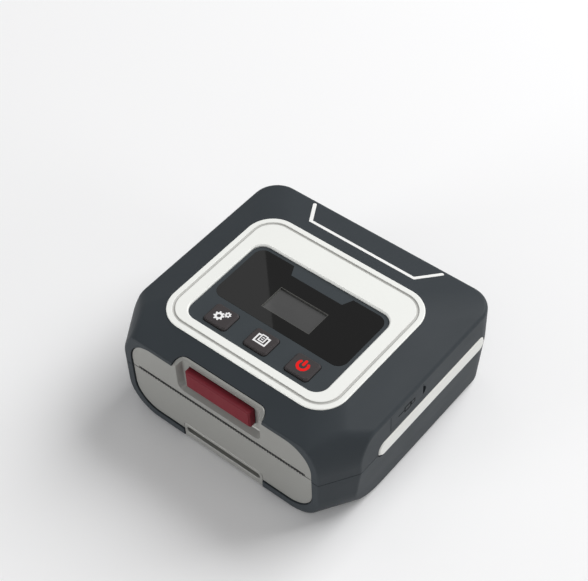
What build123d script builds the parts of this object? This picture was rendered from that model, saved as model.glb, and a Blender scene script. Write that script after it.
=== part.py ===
from build123d import *
from math import atan2, cos, degrees, hypot, pi, radians, sin, sqrt, tan
import os

# Portable label printer. Millimetres, front towards -Y, right side towards +X,
# origin on the table under the middle of the case.

os.makedirs("parts", exist_ok=True)

# Case
case_width = 120.0
case_depth = 107.4
case_height = 51.6  # table to the top of the pale frame
foot_lift = 0.8  # underside above the table
wall = 2.0
seam_z = round(0.5485 * case_height, 1)  # parting of cover and lower case
seam_gap = 0.3
crease_z = case_height - 5.8  # where the upright walls meet the crowned top
front_y = -case_depth / 2
rear_y = case_depth / 2
base_z = foot_lift
floor_z = base_z + wall
rear_radius = 11.5
draft = 4.5  # lower walls lean inwards, degrees
flare_out = 9.4  # front corner: sideways run of the slanted wall
flare_back = 14.8  # front corner: rearward run of the slanted wall
rim_half = case_width / 2 - flare_out  # half width of the front face
rim_low_radius = 15.5
rim_top_radius = 18.8
rim_top_z = case_height + 0.4
crest_radius = 6.0
crown_overrun = 3.3
crown_front_radius = 10.0
edge_softness = 0.6
front_softness = 1.2
bottom_softness = 2.0
reach = 3 * case_width  # long enough to pass right through the case
touch = 0.01  # how near an edge must lie to be picked

# Pale top frame
frame_width = case_width - 30.7
frame_depth = case_depth - 34.8
frame_y = -4.2
frame_radius = 13.0
frame_stand = 0.4  # how far the frame stands proud of the crown
frame_thickness = 2.4
frame_edge = 0.4
window_width = frame_width - 18.6
window_depth = frame_depth - 23.5
window_y = frame_y - 4.4
window_radius = 6.0
window_edge = 0.5
window_front_y = window_y - window_depth / 2
window_rear_y = window_y + window_depth / 2
groove_inset = 2.25
groove_width = 1.5
groove_depth = 0.55
groove_bevel = 0.5

# Control panel, lens, display and keys
panel_drop = 1.1  # panel face below the frame
panel_face_thickness = 1.4
panel_flange = 1.5
panel_flange_thickness = 1.1
lens_width = window_width - 4.0
lens_depth = window_depth - 17.6
lens_y = window_rear_y - 1.75 - lens_depth / 2
lens_radius = 4.6
lens_thickness = 0.6
lens_proud = 0.06
lens_gap = 0.03
tab_top_half = 15.5
tab_low_half = 13.2
tab_depth = 4.8
display_width = 24.3
display_depth = 12.5
display_y = lens_y - 2.95
display_rim = 0.15
display_recess = 0.75
display_glass_thickness = 0.7
display_frame_side = 3.0
display_frame_end = 2.5
key_width = 11.8
key_depth = 10.3
key_radius = 1.6
key_pitch = 21.0
key_y = window_front_y + 7.65
key_places = [(-key_pitch, key_y), (0, key_y), (key_pitch, key_y)]
key_proud = 1.2
key_bevel = 0.8
key_travel = 0.5
key_gap = 0.25
key_flange = 0.8
key_flange_thickness = 0.6
key_stem_radius = 2.0
switch_height = 1.2
switch_size = 5.2
board_peg_x = window_width / 2 - 4.95
board_peg_front_y = window_front_y + 4.75
board_peg_rear_y = window_rear_y - 5.95
board_pegs = [(x, y) for y in (board_peg_front_y, board_peg_rear_y) for x in (board_peg_x, -board_peg_x)]
peg_shoulder_radius = 1.9

# Line inlay on the rear slope and pale side strips
line_half = frame_width / 2 - 17.55
line_y = rear_y - 14.0
line_end_half = line_half + 6.6
line_end_y = rear_y - 3.1
line_width = 1.6
line_depth = 0.5
line_proud = 0.1
line_gap = 0.06
strip_front_y = front_y + 26.0
strip_rear_y = rear_y - 9.1
strip_low_z = seam_z - 3.0
strip_top_z = seam_z + 4.9
strip_thickness = 1.2
strip_proud = 0.3
strip_bevel = 0.7
strip_end_margin = 0.15
strip_gap = 0.45  # open line between a strip and the lower case
strip_length = strip_rear_y - strip_front_y
strip_height = strip_top_z - strip_low_z
strip_y = (strip_front_y + strip_rear_y) / 2
strip_z = (strip_low_z + strip_top_z) / 2
strip_back_x = case_width / 2 + strip_proud - strip_thickness

# Front panels and tear bar
panel_half = rim_half - 3.4
panel_radius = 12.6
panel_low_z = 5.3
panel_top_z = case_height - 6.2
panel_recess = 0.6
panel_plate = 1.8
panel_lip = 1.5
panel_lip_thickness = 1.1
panel_bevel = 0.85
panel_bevel_depth = 0.4
panel_gap = 0.1
panel_y = front_y + panel_recess
panel_seam = seam_gap / 2 + 0.1  # from the parting to each panel's edge
front_cut = wall + panel_recess + panel_plate + 0.05  # depth of the opening for the panels
slot_half = panel_half - 3.4
slot_top_z = seam_z + 1.3
slot_mouth = 1.0  # label mouth behind the lower panel's edge
mouth_lip = 0.6
tooth_count = 75
tooth_height = 0.55
tear_bar_thickness = 0.6
tear_bar_recess = 0.05
tear_bar_root = 0.1
tear_bar_seat = 0.6  # how far the bar reaches behind the panel

# Button surround and release button
hood_half = 23.2  # raised surround of the release button
hood_top_z = case_height - 2.9
hood_top_y = front_y + 4.3
hood_wall = 1.2
hood_soft = 0.5
hood_plan_radius = 4.6
hood_shoulder = 0.8  # foot of the slope above the panel's top
hood_back_y = hood_top_y + hood_wall
pocket_half = 21.6
pocket_low_z = seam_z + 4.1
pocket_depth = 3.1
pocket_taper = 26.0
pocket_radius = 3.2
pocket_softness = 1.0
button_half = 16.7
button_low_z = pocket_low_z + 4.8
button_top_z = panel_top_z + 0.9
button_proud = 0.2
button_bevel = 0.7
button_travel = 2.2
button_gap = 0.3
button_shoulder = 1.0  # the guide behind the head is narrower by this much
button_guide_low = 0.8
button_guide_top = 2.4
button_stem_half = 10.0

# Lower trim
trim_half = 21.2
trim_low_z = 1.1
trim_top_z = 9.7
trim_radius = 1.7
trim_slot_half = 19.7
trim_slot_low_z = 4.6
trim_slot_top_z = 7.8
trim_thickness = 2.0
trim_proud = 0.15
trim_edge = 0.4
trim_foot_radius = 0.5
trim_slot_edge = 0.3
trim_gap = 0.1
liner_plate = 0.8
liner_margin = 0.8

# Hinge
barrel_radius = 3.4
barrel_half = case_width / 2 - 3.0
barrel_gap = 0.3
hinge_y = rear_y - barrel_radius
hinge_z = seam_z
pin_radius = 1.25
pin_inner_x = 17.5
pin_outer_x = 44.0
pin_end_gap = 0.4
pin_seat = 3.0  # inner length of pin held in the barrel
knuckle_radius = 3.1
knuckle_inner_x = 30.0
knuckle_outer_x = 38.0
knuckle_web_z = seam_z - 10.3
lid_spring_radius = 2.2
lid_spring_wire = 0.6
lid_spring_turns = 7
lid_spring_length = 7.0
lid_spring_x = pin_inner_x + 3.6
running_gap = 0.05

# Boards under the panel; the heights below it follow from here
crown_z = case_height - frame_stand
panel_face_z = case_height - panel_drop
frame_low_z = case_height - frame_thickness
panel_low_face_z = frame_low_z - 0.2 - panel_flange_thickness
ceiling_z = panel_low_face_z - 1.5
board_thickness = 1.2
display_board_z = ceiling_z - 0.6 - board_thickness
liner_thickness = 1.2
main_board_z = display_board_z - 7.8
flat_z = main_board_z - 2.4
rear_flat_z = seam_z + 1.7

# Platen and thermal head
platen_y = front_y + 12.7
platen_z = round(seam_z + 0.159 * (case_height - seam_z), 1)
platen_radius = 4.5
platen_half = slot_half - 3.8
platen_edge = 0.4
shaft_radius = 2.0
bushing_radius = 3.2
bushing_flange = 0.6
cheek_x = platen_half + 1.4
cheek_thickness = 1.6
cheek_ring = 4.2
cheek_rear_y = platen_y + 7.0
head_gap = 0.3
head_half = platen_half
head_pivot_y = platen_y + 11.0
head_pivot_z = platen_z - 11.5
head_pivot_radius = 1.5
head_knuckle_radius = 2.6
head_plate_thickness = 1.6
head_sink_height = 3.1
head_ceramic = 1.0
head_line_radius = 0.6
fin_count = 5
fin_pitch = 2.0
fin_gap = 1.0
fin_depth = 1.4
head_spring_x = 22.0
head_spring_low_z = 8.0
head_spring_radius = 2.4
head_spring_wire = 0.6
head_spring_turns = 6
head_spring_peg = 1.6
head_spring_seat = 3.6
side_plate_x = platen_half + 2.6
side_plate_thickness = 1.2
side_plate_foot = 6.0

# Roll bay and roll guides
apron_thickness = 1.4
apron_top_z = seam_z - 2.3
apron_front_y = platen_y + 12.0
bay_wall = 1.4
rack_module = 0.8
rack_thickness = 2.2
rack_low_z = 4.2
rack_back = 2.6
bay_floor_z = rack_low_z + rack_thickness + 1.2 + bay_wall
bay_radius = (display_board_z - liner_thickness - 0.4 - bay_floor_z) / 2
bay_half = platen_half + 1.0
roll_y = 12.0
roll_z = bay_floor_z + bay_radius
guide_thickness = 2.0
guide_radius = bay_radius - 1.4
guide_hub_radius = 5.4
guide_hub_length = 2.5
guide_travel = 26.0
guide_end_gap = 0.3
guide_gear_teeth = 12
guide_axle_radius = 1.5
guide_gear_radius = rack_module * guide_gear_teeth / 2
leg_depth = 2.6
leg_gap = 0.35
clip_depth = 0.5  # the leg's foot sits this deep in the rack

# Drive
drive_module = 0.6
platen_teeth = 24
idler_teeth = 34
pinion_teeth = 12
gear_x = platen_half + 4.6
gear_width = 3.0
gear_backlash = 0.3
pressure_angle = 20.0
stud_radius = 1.5
stud_collar_radius = 2.4
motor_radius = (apron_top_z - apron_thickness - floor_z - 1.8) / 2
motor_length = 15.0
motor_y = platen_y + 22.0
motor_z = floor_z + 0.4 + motor_radius
motor_flange = 0.8
motor_shaft_radius = 1.0
platen_gear_radius = drive_module * platen_teeth / 2
idler_radius = drive_module * idler_teeth / 2
pinion_radius = drive_module * pinion_teeth / 2

# Latch
latch_x = gear_x + 4.0
latch_thickness = 2.0
latch_bar_low_z = platen_z + platen_gear_radius + drive_module + 0.6
latch_bar_height = 2.4
latch_bar_front_y = front_y + 9.2
latch_bar_depth = 3.0
latch_bar_rear_y = latch_bar_front_y + latch_bar_depth
latch_nose = 3.8
latch_nose_z = seam_z - 8.7
latch_nose_height = 2.2
latch_gap = 0.3
ledge_height = 2.4
ledge_gap = 0.25
latch_spring_x = 28.0
latch_spring_gap = button_travel + 0.4
cross_bar_z = latch_bar_low_z + latch_bar_height + 0.2
cross_bar_thickness = 1.2

# Charging socket and its dust cover
port_y = front_y + 44.0
port_width = 8.9
port_height = 3.2
port_length = 7.4
port_z = main_board_z + board_thickness + port_height / 2
port_shell = 0.35
port_tongue_thickness = 0.7
flap_front_y = front_y + 33.4
flap_rear_y = front_y + 54.9
flap_low_z = main_board_z - 1.1
flap_top_z = main_board_z + 7.1
flap_thickness = 1.2
flap_gap = 0.12
flap_plug = 0.9
notch_radius = 2.7
notch_inset = 0.9
notch_depth = 1.2

# Battery, driver board and hatch
battery_half = platen_half + 4.0
battery_front_y = rear_y - 20.1
battery_rear_y = rear_y - 6.5
battery_y = (battery_front_y + battery_rear_y) / 2
battery_height = 12.5
door_margin = 1.2
door_ledge = 1.6
door_play = 0.2
hatch_half = battery_half + door_margin
hatch_front_y = battery_front_y - door_margin
hatch_rear_y = battery_rear_y + door_margin
door_screws = [(battery_half - 0.8, battery_y), (0.8 - battery_half, battery_y)]
door_top_z = base_z + wall / 2 + 0.1
driver_board_x = case_width / 2 - 10.0
driver_board_half = 5.0
driver_board_z = 8.0
driver_board_front_y = roll_y - 38.0
driver_board_rear_y = roll_y + 12.0
driver_rib = 1.4

# Feet and screws
foot_radius = 4.0
foot_front_x = platen_half - 2.0
foot_front_y = front_y + 17.7
foot_rear_x = case_width / 2 - 9.6
foot_rear_y = rear_y - 13.7
foot_rows = ((foot_front_x, foot_front_y), (foot_rear_x, foot_rear_y))
foot_places = [(side * x, y) for x, y in foot_rows for side in (-1, 1)]
foot_seat = 0.8
screw_radius = 1.1
screw_play = 0.1
door_sink_depth = 0.6
door_sink_radius = 2.0
driver_chip_height = 1.4
driver_coil_height = 3.8
screw_head_radius = 2.2
boss_radius = 2.6
cover_screw_front = (platen_half - 5.0, platen_y + 4.4)
cover_screw_rear = (case_width / 2 - 9.0, rear_y - 17.7)
boss_places = [(side * x, y) for x, y in (cover_screw_front, cover_screw_rear) for side in (1, -1)]
boss_bottoms = [cross_bar_z + cross_bar_thickness] * 2 + [rear_flat_z + liner_thickness] * 2
tub_leg_x = platen_half - 2.0
tub_leg_reach = 14.6
base_screws_xy = [(side * tub_leg_x, roll_y + end * tub_leg_reach) for end in (-1, 1) for side in (1, -1)]
tub_leg_z = 5.0
tub_leg_radius = 2.8
tub_boss_radius = 3.0

# Angles worked out from the sizes above
side_slope = atan2(crown_z - crease_z, (case_width - frame_width) / 2)
flare_angle = atan2(flare_out, flare_back)


def save(part, name):
    """Label a finished piece and write it under its own name."""
    part.label = name
    export_step(part, f"parts/{name}.step")


def front_plane(y):
    """Upright plane facing the front at the given depth: local x is X, local y is Z."""
    return Plane.XZ.offset(-y)


def side_plane(x):
    """Upright plane facing right at the given X: local x is Y, local y is Z."""
    return Plane.YZ.offset(x)


def block(x0, x1, y0, y1, z0, z1):
    """Plain block between two corners."""
    with BuildPart() as piece:
        with Locations(((x0 + x1) / 2, (y0 + y1) / 2, (z0 + z1) / 2)):
            Box(abs(x1 - x0), abs(y1 - y0), abs(z1 - z0))
    return piece.part


def rod(x0, x1, y, z, radius):
    """Round bar along X."""
    with BuildPart() as piece:
        with BuildSketch(side_plane(min(x0, x1))):
            with Locations((y, z)):
                Circle(radius)
        extrude(amount=abs(x1 - x0))
    return piece.part


def post(x, y, z0, z1, radius):
    """Round post along Z."""
    with BuildPart() as piece:
        with BuildSketch(Plane.XY.offset(z0)):
            with Locations((x, y)):
                Circle(radius)
        extrude(amount=z1 - z0)
    return piece.part


def coil(start, axis, radius, wire, turns, length):
    """Spring wound from one wire, standing on its start point and running along its axis."""
    pitch = (length - 1.1 * wire) / turns
    first = Vector(start) + Vector(axis) * (0.55 * wire)
    with BuildPart() as piece:
        with BuildLine():
            path = Helix(pitch=pitch, height=pitch * turns, radius=radius)
        with BuildSketch(Plane(origin=path @ 0, z_dir=path % 0)):
            Circle(wire / 2)
        sweep(path=path)
    return piece.part.moved(Plane(origin=first, z_dir=axis).location)


# Outer and inner forms of the case


def plan_sketch(z, width, front, rear, front_radius, rear_corner):
    """Rectangle from above with its own radii at the front and the rear."""
    with BuildSketch(Plane.XY.offset(z)) as plan:
        with Locations((0, (rear + front) / 2)):
            Rectangle(width, rear - front)
        if front_radius > 0:
            fillet(plan.vertices().group_by(Axis.Y)[0], front_radius)
        fillet(plan.vertices().group_by(Axis.Y)[-1], rear_corner)
    return plan.sketch


def flare_sketch(side, inset):
    """Front outline on one side, open far past the other side."""
    half = rim_half - inset * (1 - sin(flare_angle)) / cos(flare_angle)
    low = base_z + inset
    high = rim_top_z - inset
    low_radius = rim_low_radius - inset
    top_radius = rim_top_radius - inset
    start = 0 if side > 0 else 180
    with BuildSketch(front_plane(front_y + inset)) as flare:
        with BuildLine():
            Line((-side * reach, low), (side * (half - low_radius), low))
            CenterArc((side * (half - low_radius), low + low_radius), low_radius, -90, 90 * side)
            Line((side * half, low + low_radius), (side * half, high - top_radius))
            CenterArc((side * (half - top_radius), high - top_radius), top_radius, start, 90 * side)
            Line((side * (half - top_radius), high), (-side * reach, high))
            Line((-side * reach, high), (-side * reach, low))
        make_face()
    return flare.sketch


def case_form(inset, top_z, margin):
    """Closed form of the case, drawn in by inset: drafted, upright, then crowned."""
    shoulder_z = crease_z - inset * (1 / cos(side_slope) - tan(side_slope))
    width = case_width - 2 * inset
    rear = rear_y - inset
    corner = rear_radius - inset
    plan = plan_sketch(seam_z, width, front_y - crown_overrun * 2, rear, 0, corner)
    shoulder_front = front_y - crown_overrun + inset
    shoulder = plan_sketch(shoulder_z, width, shoulder_front, rear, crown_front_radius, corner)
    crown = plan_sketch(
        top_z,
        frame_width + 2 * margin,
        frame_y - frame_depth / 2 - margin,
        frame_y + frame_depth / 2 + margin,
        frame_radius + margin,
        frame_radius + margin,
    )
    flares = {side: flare_sketch(side, inset) for side in (1, -1)}
    with BuildPart() as form:
        extrude(plan, amount=inset + base_z - seam_z, taper=draft)
        extrude(plan, amount=shoulder_z - seam_z)
        loft([shoulder.faces()[0], crown.faces()[0]], ruled=True)
        for side, flare in flares.items():
            extrude(flare, amount=reach / 2, dir=(side * flare_out, flare_back, 0), mode=Mode.INTERSECT)
    return form.part


def softened(form):
    """Outer form with its crest, front, bottom and rear edges rounded."""
    with BuildPart() as soft:
        add(form)
        crest = [
            edge
            for edge in soft.edges()
            if edge.geom_type != GeomType.LINE
            and edge.center().Z > crease_z + edge_softness
            and edge.center().Y < frame_y - frame_depth / 4
            and abs(edge.center().X) > frame_width / 4
            and edge.center().Z < crown_z - edge_softness
        ]
        fillet(crest, crest_radius)
        fillet(soft.edges().filter_by_position(Axis.Y, front_y - touch, front_y + touch), front_softness)
        low = soft.edges().filter_by_position(Axis.Z, base_z - touch, base_z + touch)
        fillet([edge for edge in low if edge.center().Y > front_y + wall], bottom_softness)
    return soft.part


outer_form = softened(case_form(0, crown_z, 0))
inner_form = case_form(wall, ceiling_z, 2 * wall)


def region(cover, gap):
    """Space above the parting: the cover's share, or what is cleared from the lower case."""
    radius = barrel_radius + (0 if cover else barrel_gap)
    level = seam_z + gap
    with BuildPart() as space:
        with BuildSketch(Plane.YZ):
            with Locations((0, level + reach / 4)):
                Rectangle(reach, reach / 2)
            with Locations((hinge_y, hinge_z)):
                Circle(radius)
            if not cover:
                with Locations((hinge_y + reach / 4, hinge_z - radius + reach / 4)):
                    Rectangle(reach / 2, reach / 2)
        extrude(amount=reach / 2, both=True)
    return space.part


cover_region = region(True, seam_gap / 2)
above_base_region = region(False, -seam_gap / 2)


def panel_outline(grow, low, high):
    """Front panel outline, grown on every side and kept between two heights."""
    width = 2 * (panel_half + grow)
    height = panel_top_z - panel_low_z + 2 * grow
    with Locations((0, (panel_top_z + panel_low_z) / 2)):
        RectangleRounded(width, height, panel_radius + grow)
    with Locations((0, (low + high) / 2)):
        Rectangle(2 * width, high - low, mode=Mode.INTERSECT)


def panel_lip_piece(low, high):
    """Lip round the back of a front panel, seated on the inside of the case's front wall."""
    with BuildPart() as piece:
        with BuildSketch(front_plane(front_y + wall)):
            panel_outline(panel_lip, low, high)
        extrude(amount=-panel_lip_thickness)
        add(inner_form, mode=Mode.INTERSECT)
    return piece.part


def slope_plane():
    """Plane of the rear slope: local x is X, local y runs down the slope to the rear."""
    top = frame_y + frame_depth / 2
    run = rear_y - top
    fall = crown_z - crease_z
    return Plane(origin=(0, top, crown_z), x_dir=(1, 0, 0), z_dir=(0, fall, run))


def line_sketch(width):
    """Three-stroke line with round ends, drawn on the rear slope."""
    top = frame_y + frame_depth / 2
    run = rear_y - top
    stretch = hypot(run, crown_z - crease_z) / run
    bend = (line_y - top) * stretch
    end = (line_end_y - top) * stretch
    with BuildSketch(slope_plane()) as stroke:
        with BuildLine():
            Polyline((-line_end_half, end), (-line_half, bend), (line_half, bend), (line_end_half, end))
        trace(line_width=width)
        with Locations((-line_end_half, end), (line_end_half, end), (-line_half, bend), (line_half, bend)):
            Circle(width / 2)
    return stroke.sketch


def hood_plan(z, grow):
    """Button surround from above, rounded at its rear corners and grown on every side."""
    front = front_y - wall
    rear = hood_back_y + grow
    with BuildSketch(Plane.XY.offset(z)) as plan:
        with Locations((0, (front + rear) / 2)):
            Rectangle(2 * (hood_half + grow), rear - front)
        fillet(plan.vertices().group_by(Axis.Y)[-1], hood_plan_radius + grow)
    return plan.sketch


hood_low_z = pocket_low_z - hood_wall
with BuildPart() as hood_form:
    with BuildSketch(side_plane(-hood_half)):
        with BuildLine():
            Polyline(
                (panel_y, hood_low_z),
                (panel_y, panel_top_z + hood_shoulder),
                (hood_top_y, hood_top_z),
                (hood_back_y, hood_top_z),
                (hood_back_y, hood_low_z),
                close=True,
            )
        make_face()
    extrude(amount=2 * hood_half)
    extrude(hood_plan(hood_low_z, 0), amount=case_height, mode=Mode.INTERSECT)
    rim_low_z = panel_top_z + 1.5 * hood_shoulder
    rim_inner_x = pocket_half - hood_plan_radius
    rim_edges = [
        edge
        for edge in hood_form.edges()
        if edge.center().Z > rim_low_z and abs(edge.center().X) > rim_inner_x
    ]
    fillet(rim_edges, hood_soft)

# Bowl round the button, open at the front and the top
with BuildPart() as button_bowl:
    with BuildSketch(front_plane(panel_y)):
        bowl_top_z = 2 * case_height
        with Locations((0, (pocket_low_z + bowl_top_z) / 2)):
            RectangleRounded(2 * pocket_half, bowl_top_z - pocket_low_z, pocket_radius)
    extrude(amount=-pocket_depth, taper=pocket_taper)
    fillet(button_bowl.faces().sort_by(Axis.Y)[-1].edges(), pocket_softness)


# Upper case: crowned cover shell with its half of the front rim and the hinge barrel

barrel = rod(-barrel_half, barrel_half, hinge_y, hinge_z, barrel_radius)
frame_pocket = plan_sketch(
    frame_low_z,
    frame_width + 0.1,
    frame_y - frame_depth / 2 - 0.05,
    frame_y + frame_depth / 2 + 0.05,
    frame_radius,
    frame_radius,
)

with BuildPart() as upper_case:
    add(outer_form)
    add(cover_region, mode=Mode.INTERSECT)
    add(inner_form, mode=Mode.SUBTRACT)
    add(barrel)
    for (boss_x, boss_y), boss_low in zip(boss_places, boss_bottoms):
        add(post(boss_x, boss_y, boss_low, ceiling_z + 0.5, boss_radius))
    add(outer_form, mode=Mode.INTERSECT)
    # frame seat, panel seat and the opening under the keys and the display
    extrude(frame_pocket, amount=frame_stand + frame_thickness, mode=Mode.SUBTRACT)
    with BuildSketch(Plane.XY.offset(panel_low_face_z)):
        with Locations((0, window_y)):
            seat_width = window_width + 2 * panel_flange + 0.3
            seat_depth = window_depth + 2 * panel_flange + 0.3
            RectangleRounded(seat_width, seat_depth, window_radius)
    extrude(amount=frame_thickness * 2, mode=Mode.SUBTRACT)
    with BuildSketch(Plane.XY.offset(ceiling_z - wall)):
        with Locations((0, window_y)):
            RectangleRounded(window_width - 2, window_depth - 3, window_radius)
    extrude(amount=frame_thickness * 3, mode=Mode.SUBTRACT)
    # rear line groove
    extrude(line_sketch(line_width + line_gap), amount=-line_depth, mode=Mode.SUBTRACT)
    extrude(line_sketch(line_width + line_gap), amount=wall, mode=Mode.SUBTRACT)
    # front opening for the upper front panel and the button surround
    with BuildSketch(front_plane(front_y - wall)):
        panel_outline(panel_gap, 0, case_height)
    extrude(amount=-front_cut, mode=Mode.SUBTRACT)
    notch_z = panel_top_z - wall
    extrude(hood_plan(notch_z, button_gap / 2), amount=case_height - notch_z, mode=Mode.SUBTRACT)
    # room behind the button's head for its travel
    room_x = button_half + button_gap
    room_y = (panel_y, panel_y + pocket_depth + button_travel + button_gap)
    room_z = (button_low_z - button_gap, button_top_z + button_gap)
    add(block(-room_x, room_x, *room_y, *room_z), mode=Mode.SUBTRACT)
    # side strip channels
    for side in (-1, 1):
        with BuildSketch(side_plane(side * strip_back_x)):
            with Locations((strip_y, strip_z)):
                RectangleRounded(strip_length + 0.1, strip_height + 0.1, strip_height / 2 - strip_end_margin)
        extrude(amount=side * wall, mode=Mode.SUBTRACT)
    # dust cover pocket, socket window and half-moon nail notch on the right side
    with BuildSketch(side_plane(case_width / 2 - flap_thickness - flap_gap)):
        with Locations(((flap_front_y + flap_rear_y) / 2, (flap_low_z + flap_top_z) / 2)):
            Rectangle(flap_rear_y - flap_front_y, flap_top_z - flap_low_z)
    extrude(amount=wall, mode=Mode.SUBTRACT)
    with BuildSketch(side_plane(case_width / 2 - 3 * wall)):
        with Locations((port_y, port_z)):
            RectangleRounded(port_width + 0.4, port_height + 0.4, port_height / 2)
    extrude(amount=4 * wall, mode=Mode.SUBTRACT)
    with BuildSketch(side_plane(case_width / 2 - notch_depth)):
        flap_z = (flap_low_z + flap_top_z) / 2
        with Locations((flap_rear_y - notch_inset, flap_z)):
            Circle(notch_radius)
        with Locations((flap_rear_y - notch_radius, flap_z)):
            Rectangle(2 * notch_radius, 2 * notch_radius, mode=Mode.SUBTRACT)
    extrude(amount=wall, mode=Mode.SUBTRACT)
    # hinge: pin bores, knuckle slots and spring pockets
    bore_end = pin_outer_x + pin_end_gap
    add(rod(-bore_end, bore_end, hinge_y, hinge_z, pin_radius + running_gap), mode=Mode.SUBTRACT)
    for side in (-1, 1):
        slot_inner = side * (pin_inner_x + pin_seat)
        slot_outer = side * (knuckle_outer_x + barrel_gap)
        add(rod(slot_inner, slot_outer, hinge_y, hinge_z, barrel_radius + barrel_gap), mode=Mode.SUBTRACT)
    # screw holes in the bosses
    for (boss_x, boss_y), boss_low in zip(boss_places, boss_bottoms):
        add(post(boss_x, boss_y, boss_low - 1, boss_low + 4.0, screw_radius), mode=Mode.SUBTRACT)
save(upper_case.part, "upper_case")


# Lower case: drafted shell with floor, front rim, knuckles, bosses and latch ledges

with BuildPart() as lower_case:
    add(outer_form)
    add(above_base_region, mode=Mode.SUBTRACT)
    add(inner_form, mode=Mode.SUBTRACT)
    # tongue inside the side walls, a sliding fit behind the cover's edge
    for side in (-1, 1):
        tongue_x = case_width / 2 - wall - seam_gap
        tongue_y = (front_y + 28.7, rear_y - 15.7)
        tongue_low_z = seam_z - 6.0
        tongue = (side * (tongue_x - 1.1), side * tongue_x)
        foot = (side * (tongue_x - 1.1), side * (tongue_x + 1.2))
        add(block(*tongue, *tongue_y, tongue_low_z, seam_z + 1.4))
        add(block(*foot, *tongue_y, tongue_low_z, seam_z - 0.15))
    # floor bosses for the tub legs
    for boss_x, boss_y in base_screws_xy:
        add(post(boss_x, boss_y, floor_z - 0.5, tub_leg_z, tub_boss_radius))
    # axle of the guide gear and seats of the head springs
    add(post(0, roll_y, floor_z - 0.5, rack_low_z + rack_thickness + 0.6, guide_axle_radius))
    for side in (-1, 1):
        add(post(side * head_spring_x, platen_y, floor_z - 0.5, head_spring_low_z, head_spring_seat))
        add(post(side * head_spring_x, platen_y, floor_z, head_spring_low_z + 4.0, head_spring_peg))
    # ribs under the driver board
    for rib_y in (driver_board_front_y + 2.0, driver_board_rear_y - 6.0):
        rib_x = (-driver_board_x - driver_board_half, driver_board_half - driver_board_x)
        add(block(*rib_x, rib_y, rib_y + driver_rib, floor_z - 0.5, driver_board_z))
    # latch ledges in the front corners, ending just short of the latch noses
    for side in (-1, 1):
        ledge_low = latch_nose_z + latch_nose_height + latch_gap
        ledge_x = (side * (panel_half + panel_lip + panel_gap), side * (case_width / 2 - wall))
        ledge_rear_y = latch_bar_front_y - latch_nose - ledge_gap
        add(block(*ledge_x, front_y + wall, ledge_rear_y, ledge_low, ledge_low + ledge_height))
    # hinge knuckles on their webs
    for side in (-1, 1):
        add(rod(side * knuckle_inner_x, side * knuckle_outer_x, hinge_y, hinge_z, knuckle_radius))
        web = (side * knuckle_inner_x, side * knuckle_outer_x)
        web_front_y = hinge_y - knuckle_radius
        add(block(*web, web_front_y, hinge_y + 1.0, knuckle_web_z, hinge_z - 1.0))
        add(block(*web, web_front_y, rear_y - wall, knuckle_web_z, hinge_z - barrel_radius - 0.6))
    add(outer_form, mode=Mode.INTERSECT)
    # front opening for the lower front panel and the trim
    with BuildSketch(front_plane(front_y - wall)):
        panel_outline(panel_gap, 0, case_height)
    extrude(amount=-front_cut, mode=Mode.SUBTRACT)
    trim_cut = trim_half + trim_gap
    add(block(-trim_cut, trim_cut, front_y - 1, front_y + wall + 1, 0, trim_top_z), mode=Mode.SUBTRACT)
    # clearance for the cover's side strips
    for side in (-1, 1):
        with BuildSketch(side_plane(side * (strip_back_x - seam_gap))):
            with Locations((strip_y, strip_z)):
                channel_length = strip_length + 2 * strip_gap
                channel_height = strip_height + 2 * strip_gap
                RectangleRounded(channel_length, channel_height, strip_height / 2)
        extrude(amount=side * 2 * wall, mode=Mode.SUBTRACT)
    # hinge pin bores
    for side in (-1, 1):
        add(rod(side * pin_inner_x, side * pin_outer_x, hinge_y, hinge_z, pin_radius), mode=Mode.SUBTRACT)
    # battery hatch: full opening outside, narrower inside to leave a ledge
    hatch = (hatch_front_y, hatch_rear_y)
    add(block(-hatch_half, hatch_half, *hatch, base_z - 1, door_top_z + 0.1), mode=Mode.SUBTRACT)
    end_ledge = 2 * door_ledge + 2
    opening = (hatch_front_y + door_ledge, hatch_rear_y - door_ledge)
    add(block(end_ledge - hatch_half, hatch_half - end_ledge, *opening, 0, floor_z + 1), mode=Mode.SUBTRACT)
    for screw_x, screw_y in door_screws:
        add(post(screw_x, screw_y, base_z, floor_z + 1, screw_radius), mode=Mode.SUBTRACT)
    # screw holes through the floor with head recesses
    for boss_x, boss_y in base_screws_xy:
        add(post(boss_x, boss_y, base_z - 1, tub_leg_z + 1, screw_radius + screw_play), mode=Mode.SUBTRACT)
        sink_radius = screw_head_radius + 2 * screw_play
        add(post(boss_x, boss_y, base_z - 1, base_z + 1, sink_radius), mode=Mode.SUBTRACT)
    # seats of the feet
    for foot_x, foot_y in foot_places:
        add(post(foot_x, foot_y, base_z - 1, base_z + foot_seat, foot_radius), mode=Mode.SUBTRACT)
save(lower_case.part, "lower_case")


# Pale frame round the control panel, with a soft groove near its outer edge


def frame_inset(spot):
    """Distance of a spot inside the frame's outer outline, seen from above."""
    corner = frame_radius
    side = abs(spot.X) - (frame_width / 2 - corner)
    end = abs(spot.Y - frame_y) - (frame_depth / 2 - corner)
    if side > 0 and end > 0:
        return corner - hypot(side, end)
    return corner - max(side, end)


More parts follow.
